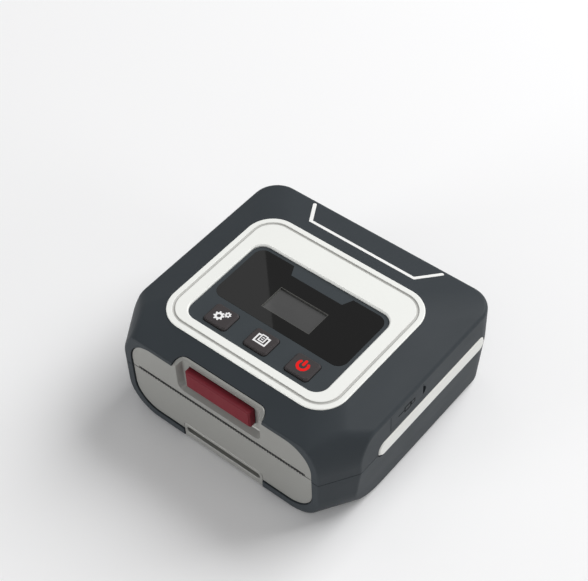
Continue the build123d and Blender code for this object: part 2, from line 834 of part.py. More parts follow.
with BuildPart() as top_frame:
    with BuildSketch(Plane.XY.offset(frame_low_z)):
        with Locations((0, frame_y)):
            RectangleRounded(frame_width, frame_depth, frame_radius)
        with Locations((0, window_y)):
            RectangleRounded(window_width, window_depth, window_radius, mode=Mode.SUBTRACT)
    extrude(amount=frame_thickness)
    chamfer(top_frame.faces().sort_by(Axis.Z)[-1].inner_wires()[0].edges(), window_edge)
    fillet(top_frame.faces().sort_by(Axis.Z)[-1].outer_wire().edges(), frame_edge)
    groove_outer = groove_inset + groove_bevel
    groove_inner = groove_inset + groove_width - groove_bevel
    with BuildSketch(Plane.XY.offset(case_height)):
        with Locations((0, frame_y)):
            RectangleRounded(
                frame_width - 2 * groove_outer, frame_depth - 2 * groove_outer, frame_radius - groove_outer
            )
            RectangleRounded(
                frame_width - 2 * groove_inner,
                frame_depth - 2 * groove_inner,
                frame_radius - groove_inner,
                mode=Mode.SUBTRACT,
            )
    extrude(amount=-groove_depth, mode=Mode.SUBTRACT)
    groove_edges = [
        edge
        for edge in top_frame.edges().filter_by_position(Axis.Z, case_height - touch, case_height + touch)
        if groove_outer - touch < frame_inset(edge.center()) < groove_inner + touch
    ]
    chamfer(groove_edges, groove_bevel)
save(top_frame.part, "top_frame")


# Control panel plate with openings for keys, lens and display



def lens_sketch(z, gap):
    """Lens outline with its rear tab cut out, drawn in by gap on every side."""
    rear = lens_y + lens_depth / 2
    with BuildSketch(Plane.XY.offset(z)) as outline:
        with Locations((0, lens_y)):
            RectangleRounded(lens_width - 2 * gap, lens_depth - 2 * gap, lens_radius - gap)
        with BuildLine():
            Polyline(
                (-tab_top_half - gap, rear),
                (-tab_low_half - gap, rear - tab_depth - gap),
                (tab_low_half + gap, rear - tab_depth - gap),
                (tab_top_half + gap, rear),
                close=True,
            )
        make_face(mode=Mode.SUBTRACT)
    return outline.sketch


def display_opening(grow):
    """Rectangle of the display, grown on every side, in the sketch being drawn."""
    with Locations((0, display_y)):
        Rectangle(display_width + 2 * grow, display_depth + 2 * grow)


with BuildPart() as control_panel:
    with BuildSketch(Plane.XY.offset(panel_low_face_z)):
        with Locations((0, window_y)):
            flange_width = window_width + 2 * panel_flange
            flange_depth = window_depth + 2 * panel_flange
            RectangleRounded(flange_width, flange_depth, window_radius)
    extrude(amount=panel_flange_thickness)
    with BuildSketch(Plane.XY.offset(panel_low_face_z + panel_flange_thickness)):
        with Locations((0, window_y)):
            inlay_width = window_width - 2 * panel_gap
            inlay_depth = window_depth - 2 * panel_gap
            RectangleRounded(inlay_width, inlay_depth, window_radius - panel_gap)
    extrude(amount=panel_face_z - panel_low_face_z - panel_flange_thickness)
    with BuildSketch(Plane.XY.offset(panel_low_face_z)):
        with Locations(*key_places):
            RectangleRounded(key_width + 2 * key_gap, key_depth + 2 * key_gap, key_radius + key_gap)
    extrude(amount=frame_thickness * 2, mode=Mode.SUBTRACT)
    with BuildSketch(Plane.XY.offset(panel_low_face_z)):
        relief = 2 * (2 * key_gap + key_flange)
        with Locations(*key_places):
            RectangleRounded(key_width + relief, key_depth + relief, key_radius)
    extrude(amount=panel_face_z - panel_face_thickness - panel_low_face_z, mode=Mode.SUBTRACT)
    for peg_x, peg_y in board_pegs:
        add(post(peg_x, peg_y, display_board_z + board_thickness, panel_low_face_z, peg_shoulder_radius))
        add(post(peg_x, peg_y, display_board_z - 0.3, panel_low_face_z, screw_radius - screw_play))
    extrude(lens_sketch(panel_face_z, 0), amount=-lens_thickness, mode=Mode.SUBTRACT)
    with BuildSketch(Plane.XY.offset(panel_low_face_z)):
        display_opening(display_rim)
    extrude(amount=frame_thickness * 2, mode=Mode.SUBTRACT)
save(control_panel.part, "control_panel")

with BuildPart() as black_lens:
    extrude(lens_sketch(panel_face_z - lens_thickness, lens_gap), amount=lens_thickness + lens_proud)
    with BuildSketch(Plane.XY.offset(panel_low_face_z)):
        display_opening(display_rim)
    extrude(amount=frame_thickness * 2, mode=Mode.SUBTRACT)
save(black_lens.part, "black_lens")

with BuildPart() as display_bezel:
    with BuildSketch(Plane.XY.offset(panel_low_face_z)):
        display_opening(display_rim)
    extrude(amount=panel_face_z + lens_proud - panel_low_face_z)
    with BuildSketch(Plane.XY.offset(panel_low_face_z - wall)):
        display_opening(0)
    extrude(amount=frame_thickness * 2, mode=Mode.SUBTRACT)
save(display_bezel.part, "display_bezel")

display_glass_z = panel_face_z - display_recess - display_glass_thickness
save(
    block(
        -display_width / 2,
        display_width / 2,
        display_y - display_depth / 2,
        display_y + display_depth / 2,
        display_glass_z,
        display_glass_z + display_glass_thickness,
    ),
    "display_glass",
)

with BuildPart() as display_module:
    with BuildSketch(Plane.XY.offset(display_board_z + board_thickness)):
        with Locations((0, display_y)):
            Rectangle(display_width + 2 * display_frame_side, display_depth + 2 * display_frame_end)
    extrude(amount=panel_low_face_z - display_board_z - board_thickness)
    with BuildSketch(Plane.XY.offset(panel_low_face_z)):
        display_opening(-panel_gap)
    extrude(amount=display_glass_z - panel_low_face_z)
save(display_module.part, "display_module")

with BuildPart() as display_board:
    with BuildSketch(Plane.XY.offset(display_board_z)):
        with Locations((0, window_y)):
            RectangleRounded(window_width + 1.0, window_depth - 2.0, 2.0)
    extrude(amount=board_thickness)
    for corner_x, corner_y in board_pegs:
        add(post(corner_x, corner_y, display_board_z - 1, ceiling_z, screw_radius), mode=Mode.SUBTRACT)
save(display_board.part, "display_board")

with BuildPart() as key_switches:
    with BuildSketch(Plane.XY.offset(display_board_z + board_thickness)):
        with Locations(*key_places):
            RectangleRounded(switch_size, switch_size, 0.8)
    extrude(amount=switch_height)
save(key_switches.part, "key_switches")

key_names = ["key_settings", "key_feed", "key_power"]
for key_name, (key_x, key_place_y) in zip(key_names, key_places):
    flange_top = panel_face_z - panel_face_thickness - 0.1
    stem_low = display_board_z + board_thickness + switch_height + key_travel + 0.1
    with BuildPart() as key:
        with BuildSketch(Plane.XY.offset(flange_top - key_flange_thickness)):
            with Locations((key_x, key_place_y)):
                RectangleRounded(key_width, key_depth, key_radius)
        extrude(amount=panel_face_z + key_proud - flange_top + key_flange_thickness)
        chamfer(key.faces().sort_by(Axis.Z)[-1].edges(), key_bevel)
        with BuildSketch(Plane.XY.offset(flange_top - key_flange_thickness)):
            with Locations((key_x, key_place_y)):
                spread = 2 * (key_gap + key_flange)
                RectangleRounded(key_width + spread, key_depth + spread, key_radius)
        extrude(amount=key_flange_thickness)
        with BuildSketch(Plane.XY.offset(stem_low)):
            with Locations((key_x, key_place_y)):
                Circle(key_stem_radius)
        extrude(amount=flange_top - stem_low)
    save(key.part, key_name)


# Inlaid line on the rear slope and pale side strips

with BuildPart() as rear_line:
    extrude(line_sketch(line_width), amount=-line_depth)
    extrude(line_sketch(line_width), amount=line_proud)
save(rear_line.part, "rear_line")

for side, strip_name in ((1, "side_strip_right"), (-1, "side_strip_left")):
    with BuildPart() as strip:
        with BuildSketch(side_plane(side * strip_back_x)):
            with Locations((strip_y, strip_z)):
                RectangleRounded(strip_length, strip_height, strip_height / 2 - strip_end_margin)
        extrude(amount=side * strip_thickness)
        outer_face = strip.faces().sort_by(Axis.X)[-1 if side > 0 else 0]
        chamfer(outer_face.edges(), strip_bevel)
    save(strip.part, strip_name)


# Upper front panel with the button surround, in one pale gray moulding

panel_seam_top = seam_z + panel_seam
with BuildPart() as upper_front_panel:
    with BuildSketch(front_plane(panel_y)):
        panel_outline(0, panel_seam_top, case_height)
    extrude(amount=-panel_plate)
    outer_face = upper_front_panel.faces().sort_by(Axis.Y)[0]
    rim_edges = [edge for edge in outer_face.edges() if edge.center().Z > panel_seam_top + 1]
    chamfer(rim_edges, panel_bevel_depth, panel_bevel, reference=outer_face)
    add(panel_lip_piece(panel_seam_top + 2 * panel_lip, case_height))
    add(hood_form.part)
    add(button_bowl.part, mode=Mode.SUBTRACT)
    # hole for the button through the bowl's back wall
    hole_x = button_half + button_gap
    hole_z = (button_low_z - button_gap, button_top_z + button_gap)
    add(block(-hole_x, hole_x, panel_y - 1, front_y + 4 * wall, *hole_z), mode=Mode.SUBTRACT)
    # slot for the tear bar
    slot_z = (panel_seam_top - 1, slot_top_z)
    add(block(-slot_half, slot_half, panel_y - 1, front_y + 4 * wall, *slot_z), mode=Mode.SUBTRACT)
save(upper_front_panel.part, "upper_front_panel")

with BuildPart() as tear_bar:
    pitch = 2 * slot_half / tooth_count
    root_z = slot_top_z - tear_bar_root
    tip_z = root_z - tooth_height
    teeth = [(-slot_half, slot_top_z), (-slot_half, root_z)]
    for tooth in range(tooth_count):
        left = -slot_half + tooth * pitch
        teeth += [(left + pitch / 2, tip_z), (left + pitch, root_z)]
    teeth.append((slot_half, slot_top_z))
    with BuildSketch(front_plane(panel_y + tear_bar_recess)):
        with BuildLine():
            Polyline(*teeth, close=True)
        make_face()
    extrude(amount=-tear_bar_thickness)
    backing_y = (panel_y + tear_bar_recess + tear_bar_thickness, panel_y + panel_plate + tear_bar_seat)
    add(block(-slot_half, slot_half, *backing_y, root_z, slot_top_z))
save(tear_bar.part, "tear_bar")

# Lower front panel: its edge under the label slot is cut back, and it is notched for the trim


def trim_notch():
    """Opening for the trim in the sketch being drawn, rounded at its top."""
    height = trim_top_z + trim_gap
    with Locations((0, (height - trim_radius * 3) / 2)):
        RectangleRounded(2 * (trim_half + trim_gap), height + trim_radius * 3, trim_radius + trim_gap)


panel_seam_low = seam_z - panel_seam
with BuildPart() as lower_front_panel:
    with BuildSketch(front_plane(panel_y)):
        panel_outline(0, 0, panel_seam_low)
    extrude(amount=-panel_plate)
    outer_face = lower_front_panel.faces().sort_by(Axis.Y)[0]
    rim_edges = [edge for edge in outer_face.edges() if edge.center().Z < panel_seam_low - 1]
    chamfer(rim_edges, panel_bevel_depth, panel_bevel, reference=outer_face)
    add(panel_lip_piece(0, panel_seam_low - 2 * panel_lip))
    mouth_z = (panel_seam_low - slot_mouth, seam_z + 1)
    add(block(-slot_half, slot_half, panel_y + mouth_lip, panel_y + 2 * wall, *mouth_z), mode=Mode.SUBTRACT)
    with BuildSketch(front_plane(front_y - 1)):
        trim_notch()
    extrude(amount=-2 * wall - 1, mode=Mode.SUBTRACT)
save(lower_front_panel.part, "lower_front_panel")

trim_front_y = panel_y - trim_proud
with BuildPart() as lower_trim:
    with BuildSketch(front_plane(trim_front_y)):
        with Locations((0, (trim_low_z + trim_top_z) / 2)):
            Rectangle(2 * trim_half, trim_top_z - trim_low_z)
    extrude(amount=-trim_thickness)
    fillet(lower_trim.edges().filter_by(Axis.Y).group_by(Axis.Z)[-1], trim_radius)
    fillet(lower_trim.edges().filter_by(Axis.Y).group_by(Axis.Z)[0], trim_foot_radius)
    fillet(lower_trim.faces().sort_by(Axis.Y)[0].edges(), trim_edge)
    with BuildSketch(front_plane(trim_front_y - trim_proud)):
        with Locations((0, (trim_slot_low_z + trim_slot_top_z) / 2)):
            slot_height = trim_slot_top_z - trim_slot_low_z
            RectangleRounded(2 * trim_slot_half, slot_height, slot_height / 2 - 0.05)
    extrude(amount=-trim_thickness * 2, mode=Mode.SUBTRACT)
    slot_edges = lower_trim.faces().sort_by(Axis.Y)[0].inner_wires()[0].edges()
    fillet(slot_edges, trim_slot_edge)
save(lower_trim.part, "lower_trim")

with BuildPart() as trim_liner:
    with BuildSketch(front_plane(trim_front_y + trim_thickness)):
        with Locations((0, (trim_slot_low_z + trim_slot_top_z) / 2)):
            Rectangle(2 * trim_half - 1.0, trim_slot_top_z - trim_slot_low_z + 2 * liner_margin)
    extrude(amount=-liner_plate)
save(trim_liner.part, "trim_liner")


# Release button with its stem, and the latch slide that it pushes

button_face_y = panel_y - button_proud
with BuildPart() as release_button:
    with BuildSketch(front_plane(button_face_y)):
        with Locations((0, (button_low_z + button_top_z) / 2)):
            Rectangle(2 * button_half, button_top_z - button_low_z)
    extrude(amount=-(pocket_depth + button_proud))
    chamfer(release_button.faces().sort_by(Axis.Y)[0].edges(), button_bevel)
    guide_x = button_half - button_shoulder
    guide_y = (panel_y + pocket_depth, hood_back_y + 0.2)
    guide_z = (button_low_z + button_guide_low, button_top_z - button_guide_top)
    add(block(-guide_x, guide_x, *guide_y, *guide_z))
    stem = (-button_stem_half, button_stem_half, hood_back_y, latch_bar_front_y)
    add(block(*stem, latch_bar_low_z, latch_bar_low_z + latch_bar_height))
save(release_button.part, "release_button")

with BuildPart() as latch_slide:
    bar_end = latch_x + latch_thickness
    bar_top = latch_bar_low_z + latch_bar_height
    add(block(-bar_end, bar_end, latch_bar_front_y, latch_bar_rear_y, latch_bar_low_z, bar_top))
    for side in (-1, 1):
        arm = (side * latch_x, side * bar_end)
        add(block(*arm, latch_bar_front_y, latch_bar_rear_y, latch_nose_z, bar_top))
        nose_y = (latch_bar_front_y - latch_nose, latch_bar_front_y)
        add(block(*arm, *nose_y, latch_nose_z, latch_nose_z + latch_nose_height))
save(latch_slide.part, "latch_slide")


# Platen: rubber on a steel shaft, bushings in a steel frame, gear on the right end

shaft_end = 0.8  # shaft beyond the left bushing
with BuildPart() as platen_shaft:
    shaft_x = (-(cheek_x + cheek_thickness + shaft_end), gear_x + gear_width + 0.6)
    add(rod(*shaft_x, platen_y, platen_z, shaft_radius))
    chamfer(platen_shaft.edges().filter_by(GeomType.CIRCLE), 0.3)
save(platen_shaft.part, "platen_shaft")

with BuildPart() as platen_rubber:
    add(rod(-platen_half, platen_half, platen_y, platen_z, platen_radius))
    add(rod(-platen_half, platen_half, platen_y, platen_z, shaft_radius), mode=Mode.SUBTRACT)
    fillet(platen_rubber.edges().filter_by(GeomType.CIRCLE).group_by(SortBy.LENGTH)[-1], platen_edge)
save(platen_rubber.part, "platen_rubber")

with BuildPart() as platen_bushings:
    for side in (-1, 1):
        sleeve = (side * cheek_x, side * (cheek_x + cheek_thickness))
        flange = (side * (cheek_x - 0.8), side * cheek_x)
        add(rod(*sleeve, platen_y, platen_z, bushing_radius))
        add(rod(*flange, platen_y, platen_z, bushing_radius + bushing_flange))
    bore = rod(-reach, reach, platen_y, platen_z, shaft_radius + running_gap)
    add(bore, mode=Mode.SUBTRACT)
save(platen_bushings.part, "platen_bushings")

with BuildPart() as platen_frame:
    bar_y = (latch_bar_rear_y + latch_spring_gap, cheek_rear_y)
    bar_z = (cross_bar_z, cross_bar_z + cross_bar_thickness)
    for side in (-1, 1):
        cheek = (side * cheek_x, side * (cheek_x + cheek_thickness))
        add(rod(*cheek, platen_y, platen_z, cheek_ring))
        add(block(*cheek, platen_y, cheek_rear_y, platen_z - 2.6, platen_z + cheek_ring))
        add(block(*cheek, *bar_y, platen_z, bar_z[1]))
    add(block(-cheek_x - 1.0, cheek_x + 1.0, *bar_y, *bar_z))
    add(rod(-reach, reach, platen_y, platen_z, bushing_radius), mode=Mode.SUBTRACT)
    for boss_x, boss_y in boss_places[:2]:
        screw_hole = post(boss_x, boss_y, cross_bar_z - 1, cross_bar_z + 2, screw_radius + screw_play)
        add(screw_hole, mode=Mode.SUBTRACT)
save(platen_frame.part, "platen_frame")


# Drive: platen gear, idler and motor pinion


def wheel_sketch(plane, centre, teeth, module, phase, bore):
    """Spur gear outline: straight flanks set at the working angle, with backlash."""
    pitch_radius = module * teeth / 2
    tip = pitch_radius + module
    root = pitch_radius - 1.25 * module
    foot = root - 0.3
    half = pi * module / 4 - gear_backlash / 4
    lean = tan(radians(pressure_angle - 90 / teeth))
    with BuildSketch(plane) as outline:
        with Locations(centre):
            Circle(root + 0.02)
            with PolarLocations(0, teeth, start_angle=phase):
                Polygon(
                    (foot, half + lean * (pitch_radius - root)),
                    (foot, -half - lean * (pitch_radius - root)),
                    (tip, -half + lean * (tip - pitch_radius)),
                    (tip, half - lean * (tip - pitch_radius)),
                    align=None,
                )
            Circle(bore, mode=Mode.SUBTRACT)
    return outline.sketch


def mesh_phase(teeth, toward_mate, mate_teeth, mate_phase, mate_toward):
    """Tooth angle of a gear so that it meshes with a mate whose tooth angle is known."""
    mate_pitch = 360 / mate_teeth
    offset = (mate_toward - mate_phase) % mate_pitch
    return toward_mate + offset * mate_teeth / teeth + 180 / teeth


def direction(from_y, from_z, to_y, to_z):
    """Angle from one axis to another, degrees from +Y towards +Z."""
    return degrees(atan2(to_z - from_z, to_y - from_y))


# The idler sits where it meshes with both the platen gear and the motor pinion
span = hypot(motor_y - platen_y, motor_z - platen_z)
near = platen_gear_radius + idler_radius
far = pinion_radius + idler_radius
along = (near**2 - far**2 + span**2) / (2 * span)
aside = sqrt(near**2 - along**2)
unit_y = (motor_y - platen_y) / span
unit_z = (motor_z - platen_z) / span
idler_y = platen_y + along * unit_y + aside * unit_z
idler_z = platen_z + along * unit_z - aside * unit_y

platen_phase = direction(platen_y, platen_z, idler_y, idler_z)
idler_phase = mesh_phase(
    idler_teeth,
    direction(idler_y, idler_z, platen_y, platen_z),
    platen_teeth,
    platen_phase,
    direction(platen_y, platen_z, idler_y, idler_z),
)
pinion_phase = mesh_phase(
    pinion_teeth,
    direction(motor_y, motor_z, idler_y, idler_z),
    idler_teeth,
    idler_phase,
    direction(idler_y, idler_z, motor_y, motor_z),
)
gear_end = gear_x + gear_width
drive_gears = [
    ("platen_gear", platen_teeth, (platen_y, platen_z), platen_phase, shaft_radius),
    ("idler_gear", idler_teeth, (idler_y, idler_z), idler_phase, stud_radius + running_gap),
    ("motor_pinion", pinion_teeth, (motor_y, motor_z), pinion_phase, motor_shaft_radius),
]
for gear_name, teeth_number, centre, phase, bore in drive_gears:
    with BuildPart() as wheel:
        gear_outline = wheel_sketch(side_plane(gear_x), centre, teeth_number, drive_module, phase, bore)
        extrude(gear_outline, amount=gear_width)
    save(wheel.part, gear_name)

with BuildPart() as motor:
    add(rod(side_plate_x - motor_length, side_plate_x, motor_y, motor_z, motor_radius))
    with BuildSketch(side_plane(side_plate_x - motor_flange)):
        with Locations((motor_y, motor_z)):
            SlotOverall(2 * motor_radius + 8.0, 6.0, rotation=40)
    extrude(amount=motor_flange)
    add(rod(-reach, reach, motor_y, motor_z, motor_shaft_radius + running_gap), mode=Mode.SUBTRACT)
save(motor.part, "motor")
save(rod(side_plate_x - motor_length, gear_end + 0.4, motor_y, motor_z, motor_shaft_radius), "motor_shaft")

# Side plates of the print unit, bolted to the floor; the right one carries the idler's stud
for side, plate_name in ((1, "gear_plate"), (-1, "left_plate")):
    with BuildPart() as plate:
        with BuildSketch(side_plane(side * side_plate_x)):
            with BuildLine():
                Polyline(
                    (platen_y + 4.0, floor_z),
                    (platen_y + 4.0, head_pivot_z + 4.0),
                    (platen_y + 7.0, head_pivot_z + 5.6),
                    (motor_y + 7.0, head_pivot_z + 5.6),
                    (motor_y + 11.0, floor_z + 8.0),
                    (motor_y + 11.0, floor_z),
                    close=True,
                )
            make_face()
            with Locations((head_pivot_y, head_pivot_z)):
                Circle(head_pivot_radius, mode=Mode.SUBTRACT)
            if side > 0:
                with Locations((motor_y, motor_z)):
                    Circle(motor_shaft_radius + 0.4, mode=Mode.SUBTRACT)
        extrude(amount=side * side_plate_thickness)
        foot = (side * side_plate_x, side * (side_plate_x + side_plate_foot))
        add(block(*foot, motor_y + 3.0, motor_y + 11.0, floor_z, floor_z + side_plate_thickness))
        if side > 0:
            add(rod(side_plate_x, gear_end + 0.2, idler_y, idler_z, stud_radius))
            add(rod(side_plate_x + side_plate_thickness, gear_x - 0.2, idler_y, idler_z, stud_collar_radius))
            add(rod(gear_end + 0.2, gear_end + 0.8, idler_y, idler_z, stud_collar_radius))
    save(plate.part, plate_name)

pivot_end = side_plate_x + side_plate_thickness
save(rod(-pivot_end, pivot_end, head_pivot_y, head_pivot_z, head_pivot_radius), "head_pivot")

# Print head: bracket on the pivot, heat sink and ceramic with its heating line
head_top_z = platen_z - platen_radius - head_gap
ceramic_z = head_top_z - head_line_radius - head_ceramic
head_sink_z = ceramic_z - head_sink_height
spring_top_z = head_sink_z - head_plate_thickness
with BuildPart() as head_bracket:
    add(block(-head_half, head_half, platen_y - 5.0, head_pivot_y, spring_top_z, head_sink_z))
    add(rod(-head_half, head_half, head_pivot_y, head_pivot_z, head_knuckle_radius))
    for side in (-1, 1):
        add(post(side * head_spring_x, platen_y, spring_top_z - 1.4, spring_top_z, head_spring_peg))
    add(rod(-reach, reach, head_pivot_y, head_pivot_z, head_pivot_radius + running_gap), mode=Mode.SUBTRACT)
save(head_bracket.part, "head_bracket")

with BuildPart() as head_heat_sink:
    add(block(-head_half, head_half, platen_y - 4.4, platen_y + 5.6, head_sink_z, ceramic_z))
    for fin in range(fin_count):
        fin_y = platen_y - 3.6 + fin_pitch * fin
        groove_z = (head_sink_z - 0.1, head_sink_z + fin_depth)
        add(block(-head_half, head_half, fin_y, fin_y + fin_gap, *groove_z), mode=Mode.SUBTRACT)
save(head_heat_sink.part, "head_heat_sink")

with BuildPart() as thermal_head:
    add(block(-head_half, head_half, platen_y - 3.8, platen_y + 4.6, ceramic_z, ceramic_z + head_ceramic))
    add(rod(-head_half + 1, head_half - 1, platen_y, ceramic_z + head_ceramic, head_line_radius))
save(thermal_head.part, "thermal_head")

with BuildPart() as head_springs:
    spring_length = spring_top_z - head_spring_low_z
    for side in (-1, 1):
        seat = (side * head_spring_x, platen_y, head_spring_low_z)
        winding = (head_spring_radius, head_spring_wire, head_spring_turns)
        add(coil(seat, (0, 0, 1), *winding, spring_length))
save(head_springs.part, "head_springs")


# Roll bay tub with its front apron, guide slots and legs
slot_low_x = bay_half - guide_travel - guide_thickness - 2 * guide_end_gap
leg_offset = guide_gear_radius + rack_module + rack_back / 2 + 1.6
guide_left_y = roll_y - leg_offset
guide_right_y = roll_y + leg_offset
leg_top_z = roll_z - bay_radius / 2

with BuildPart() as roll_tub:
    with BuildSketch(side_plane(-bay_half - bay_wall)):
        with Locations((roll_y, roll_z)):
            Circle(bay_radius + bay_wall)
            with Locations((0, bay_radius)):
                Rectangle(4 * bay_radius, 2 * bay_radius, mode=Mode.SUBTRACT)
    extrude(amount=2 * (bay_half + bay_wall))
    bay_front_y = roll_y - bay_radius
    apron_low_z = apron_top_z - apron_thickness
    add(block(-bay_half, bay_half, apron_front_y, bay_front_y - bay_wall / 2, apron_low_z, apron_top_z))
    for leg_x, leg_y in base_screws_xy:
        bay_under_z = roll_z - sqrt((bay_radius + bay_wall) ** 2 - (leg_y - roll_y) ** 2)
        add(post(leg_x, leg_y, tub_leg_z, bay_under_z + 2.5, tub_leg_radius))
    add(rod(-bay_half, bay_half, roll_y, roll_z, bay_radius), mode=Mode.SUBTRACT)
    for leg_x, leg_y in base_screws_xy:
        add(post(leg_x, leg_y, tub_leg_z - 1, tub_leg_z + 5.0, screw_radius), mode=Mode.SUBTRACT)
    for side, leg_y in ((-1, guide_left_y), (1, guide_right_y)):
        slot_x = (side * slot_low_x, side * (bay_half - guide_end_gap))
        slot_y = (leg_y - leg_depth / 2 - leg_gap, leg_y + leg_depth / 2 + leg_gap)
        add(block(*slot_x, *slot_y, 0, leg_top_z), mode=Mode.SUBTRACT)
save(roll_tub.part, "roll_tub")

# Roll guides: disc, hub and a leg through the tub, with a rack clipped under each leg
outer_x = bay_half - 2 * guide_end_gap
inner_x = outer_x - guide_thickness
rack_reach = guide_travel / 2 - 5.0  # how far each rack runs past the middle
rack_pitch = pi * rack_module
rack_top_z = rack_low_z + rack_thickness
clip_z = rack_top_z - clip_depth
for side, leg_y, hand in ((-1, guide_left_y, "left"), (1, guide_right_y, "right")):
    leg_x = (side * inner_x, side * outer_x)
    leg_sides = (leg_y - leg_depth / 2, leg_y + leg_depth / 2)
    with BuildPart() as guide:
        with BuildSketch(side_plane(side * outer_x)):
            with Locations((roll_y, roll_z)):
                Circle(guide_radius)
                with Locations((0, guide_radius + 8.0)):
                    Rectangle(4 * guide_radius, 2 * guide_radius, mode=Mode.SUBTRACT)
        extrude(amount=-side * guide_thickness)
        add(rod(side * inner_x, side * (inner_x - guide_hub_length), roll_y, roll_z, guide_hub_radius))
        add(block(*leg_x, *leg_sides, clip_z, leg_top_z))
    save(guide.part, f"guide_{hand}")

    toward_gear = 1 if leg_y < roll_y else -1
    pitch_line = roll_y - toward_gear * guide_gear_radius
    root_line = pitch_line - toward_gear * 1.25 * rack_module
    foot_line = root_line - toward_gear * 0.2
    tip_line = pitch_line + toward_gear * rack_module
    half_tooth = rack_pitch / 4 - gear_backlash / 4
    lean = tan(radians(pressure_angle)) * rack_module
    rack_x = (side * outer_x, -side * rack_reach)
    with BuildPart() as rack:
        add(block(*rack_x, leg_y - toward_gear * leg_depth / 2, root_line, rack_low_z, rack_top_z))
        with BuildSketch(Plane.XY.offset(rack_low_z)):
            for number in range(-20, 21):
                tooth_x = number * rack_pitch
                if min(rack_x) + 1.5 < tooth_x < max(rack_x) - 1.0:
                    with BuildLine():
                        Polyline(
                            (tooth_x - half_tooth - 1.4 * lean, foot_line),
                            (tooth_x + half_tooth + 1.4 * lean, foot_line),
                            (tooth_x + half_tooth - lean, tip_line),
                            (tooth_x - half_tooth + lean, tip_line),
                            close=True,
                        )
                    make_face()
        extrude(amount=rack_thickness)
        add(block(*leg_x, *leg_sides, clip_z, rack_top_z + 1), mode=Mode.SUBTRACT)
    save(rack.part, f"rack_{hand}")

with BuildPart() as guide_gear:
    gear_phase = 90 + 180 / guide_gear_teeth
    bore = guide_axle_radius + running_gap
    gear_plane = Plane.XY.offset(rack_low_z)
    extrude(
        wheel_sketch(gear_plane, (0, roll_y), guide_gear_teeth, rack_module, gear_phase, bore),
        amount=rack_thickness,
    )
save(guide_gear.part, "guide_gear")

sensor_y = (apron_front_y + 15.0, apron_front_y + 21.0)
save(block(-24.0, -14.0, *sensor_y, apron_top_z, apron_top_z + 1.6), "gap_sensor")


# Cover liner: arch over the roll, flat over the print unit, open at its ends
with BuildPart() as cover_liner:
    liner_front_y = platen_y + 8.8
    liner_rear_y = rear_y - 9.7
    liner_half = case_width / 2 - 4.0
    with BuildSketch(side_plane(-liner_half)):
        with Locations((roll_y, roll_z)):
            Circle(bay_radius + liner_thickness)
        with Locations(((liner_front_y + roll_y) / 2, flat_z + liner_thickness / 2)):
            Rectangle(roll_y - liner_front_y, liner_thickness)
        with Locations((liner_front_y + liner_thickness / 2, (flat_z + cross_bar_z) / 2)):
            Rectangle(liner_thickness, cross_bar_z - flat_z)
        with Locations(((roll_y + liner_rear_y) / 2, rear_flat_z + liner_thickness / 2)):
            Rectangle(liner_rear_y - roll_y, liner_thickness)
        with Locations((roll_y, roll_z)):
            Circle(bay_radius, mode=Mode.SUBTRACT)
        with Locations((roll_y, rear_flat_z - reach / 4)):
            Rectangle(reach, reach / 2, mode=Mode.SUBTRACT)
    extrude(amount=2 * liner_half)
    for boss_x, boss_y in boss_places[2:]:
        hole = post(boss_x, boss_y, rear_flat_z - 1, rear_flat_z + 2, screw_radius + screw_play)
        add(hole, mode=Mode.SUBTRACT)
save(cover_liner.part, "cover_liner")

# Boards, socket and its dust cover
board_front_y = liner_front_y + 2.3
board_rear_y = roll_y - 18.9
board_y = (board_front_y + board_rear_y) / 2
with BuildPart() as main_board:
    with BuildSketch(Plane.XY.offset(main_board_z)):
        with Locations((2.0, board_y)):
            RectangleRounded(case_width - 14.0, board_rear_y - board_front_y, 1.5)
    extrude(amount=board_thickness)
    for stand_x in (-48.0, -16.0, 20.0, 44.0):
        stand = (stand_x - 1.5, stand_x + 1.5, board_y - 3.6, board_y - 0.6)
        add(block(*stand, flat_z + liner_thickness, main_board_z))
save(main_board.part, "main_board")

# Each chip: left, right, front and rear of the board's middle, height
chips = [
    (-12.0, 0.0, -7.6, 4.4, 1.6),
    (10.0, 18.0, -5.6, 0.4, 1.2),
    (-36.0, -28.0, -3.6, 6.4, 2.4),
    (26.0, 31.0, -3.6, 1.4, 3.0),
]
with BuildPart() as board_chips:
    chip_z = main_board_z + board_thickness
    for left, right, front, back, height in chips:
        add(block(left, right, board_y + front, board_y + back, chip_z, chip_z + height))
save(board_chips.part, "board_chips")

port_outer_x = case_width / 2 - wall - 0.4
with BuildPart() as charging_port:
    with BuildSketch(side_plane(port_outer_x - port_length)):
        with Locations((port_y, port_z)):
            RectangleRounded(port_width, port_height, port_height / 2 - 0.05)
    extrude(amount=port_length)
    with BuildSketch(side_plane(port_outer_x)):
        with Locations((port_y, port_z)):
            mouth = (port_width - 2 * port_shell, port_height - 2 * port_shell)
            RectangleRounded(*mouth, port_height / 2 - port_shell - 0.05)
    extrude(amount=1.2 - port_length, mode=Mode.SUBTRACT)
    with BuildSketch(side_plane(port_outer_x - port_length + 1.0)):
        with Locations((port_y, port_z)):
            Rectangle(port_width - 2.6, port_tongue_thickness)
    extrude(amount=port_length - 1.8)
save(charging_port.part, "charging_port")

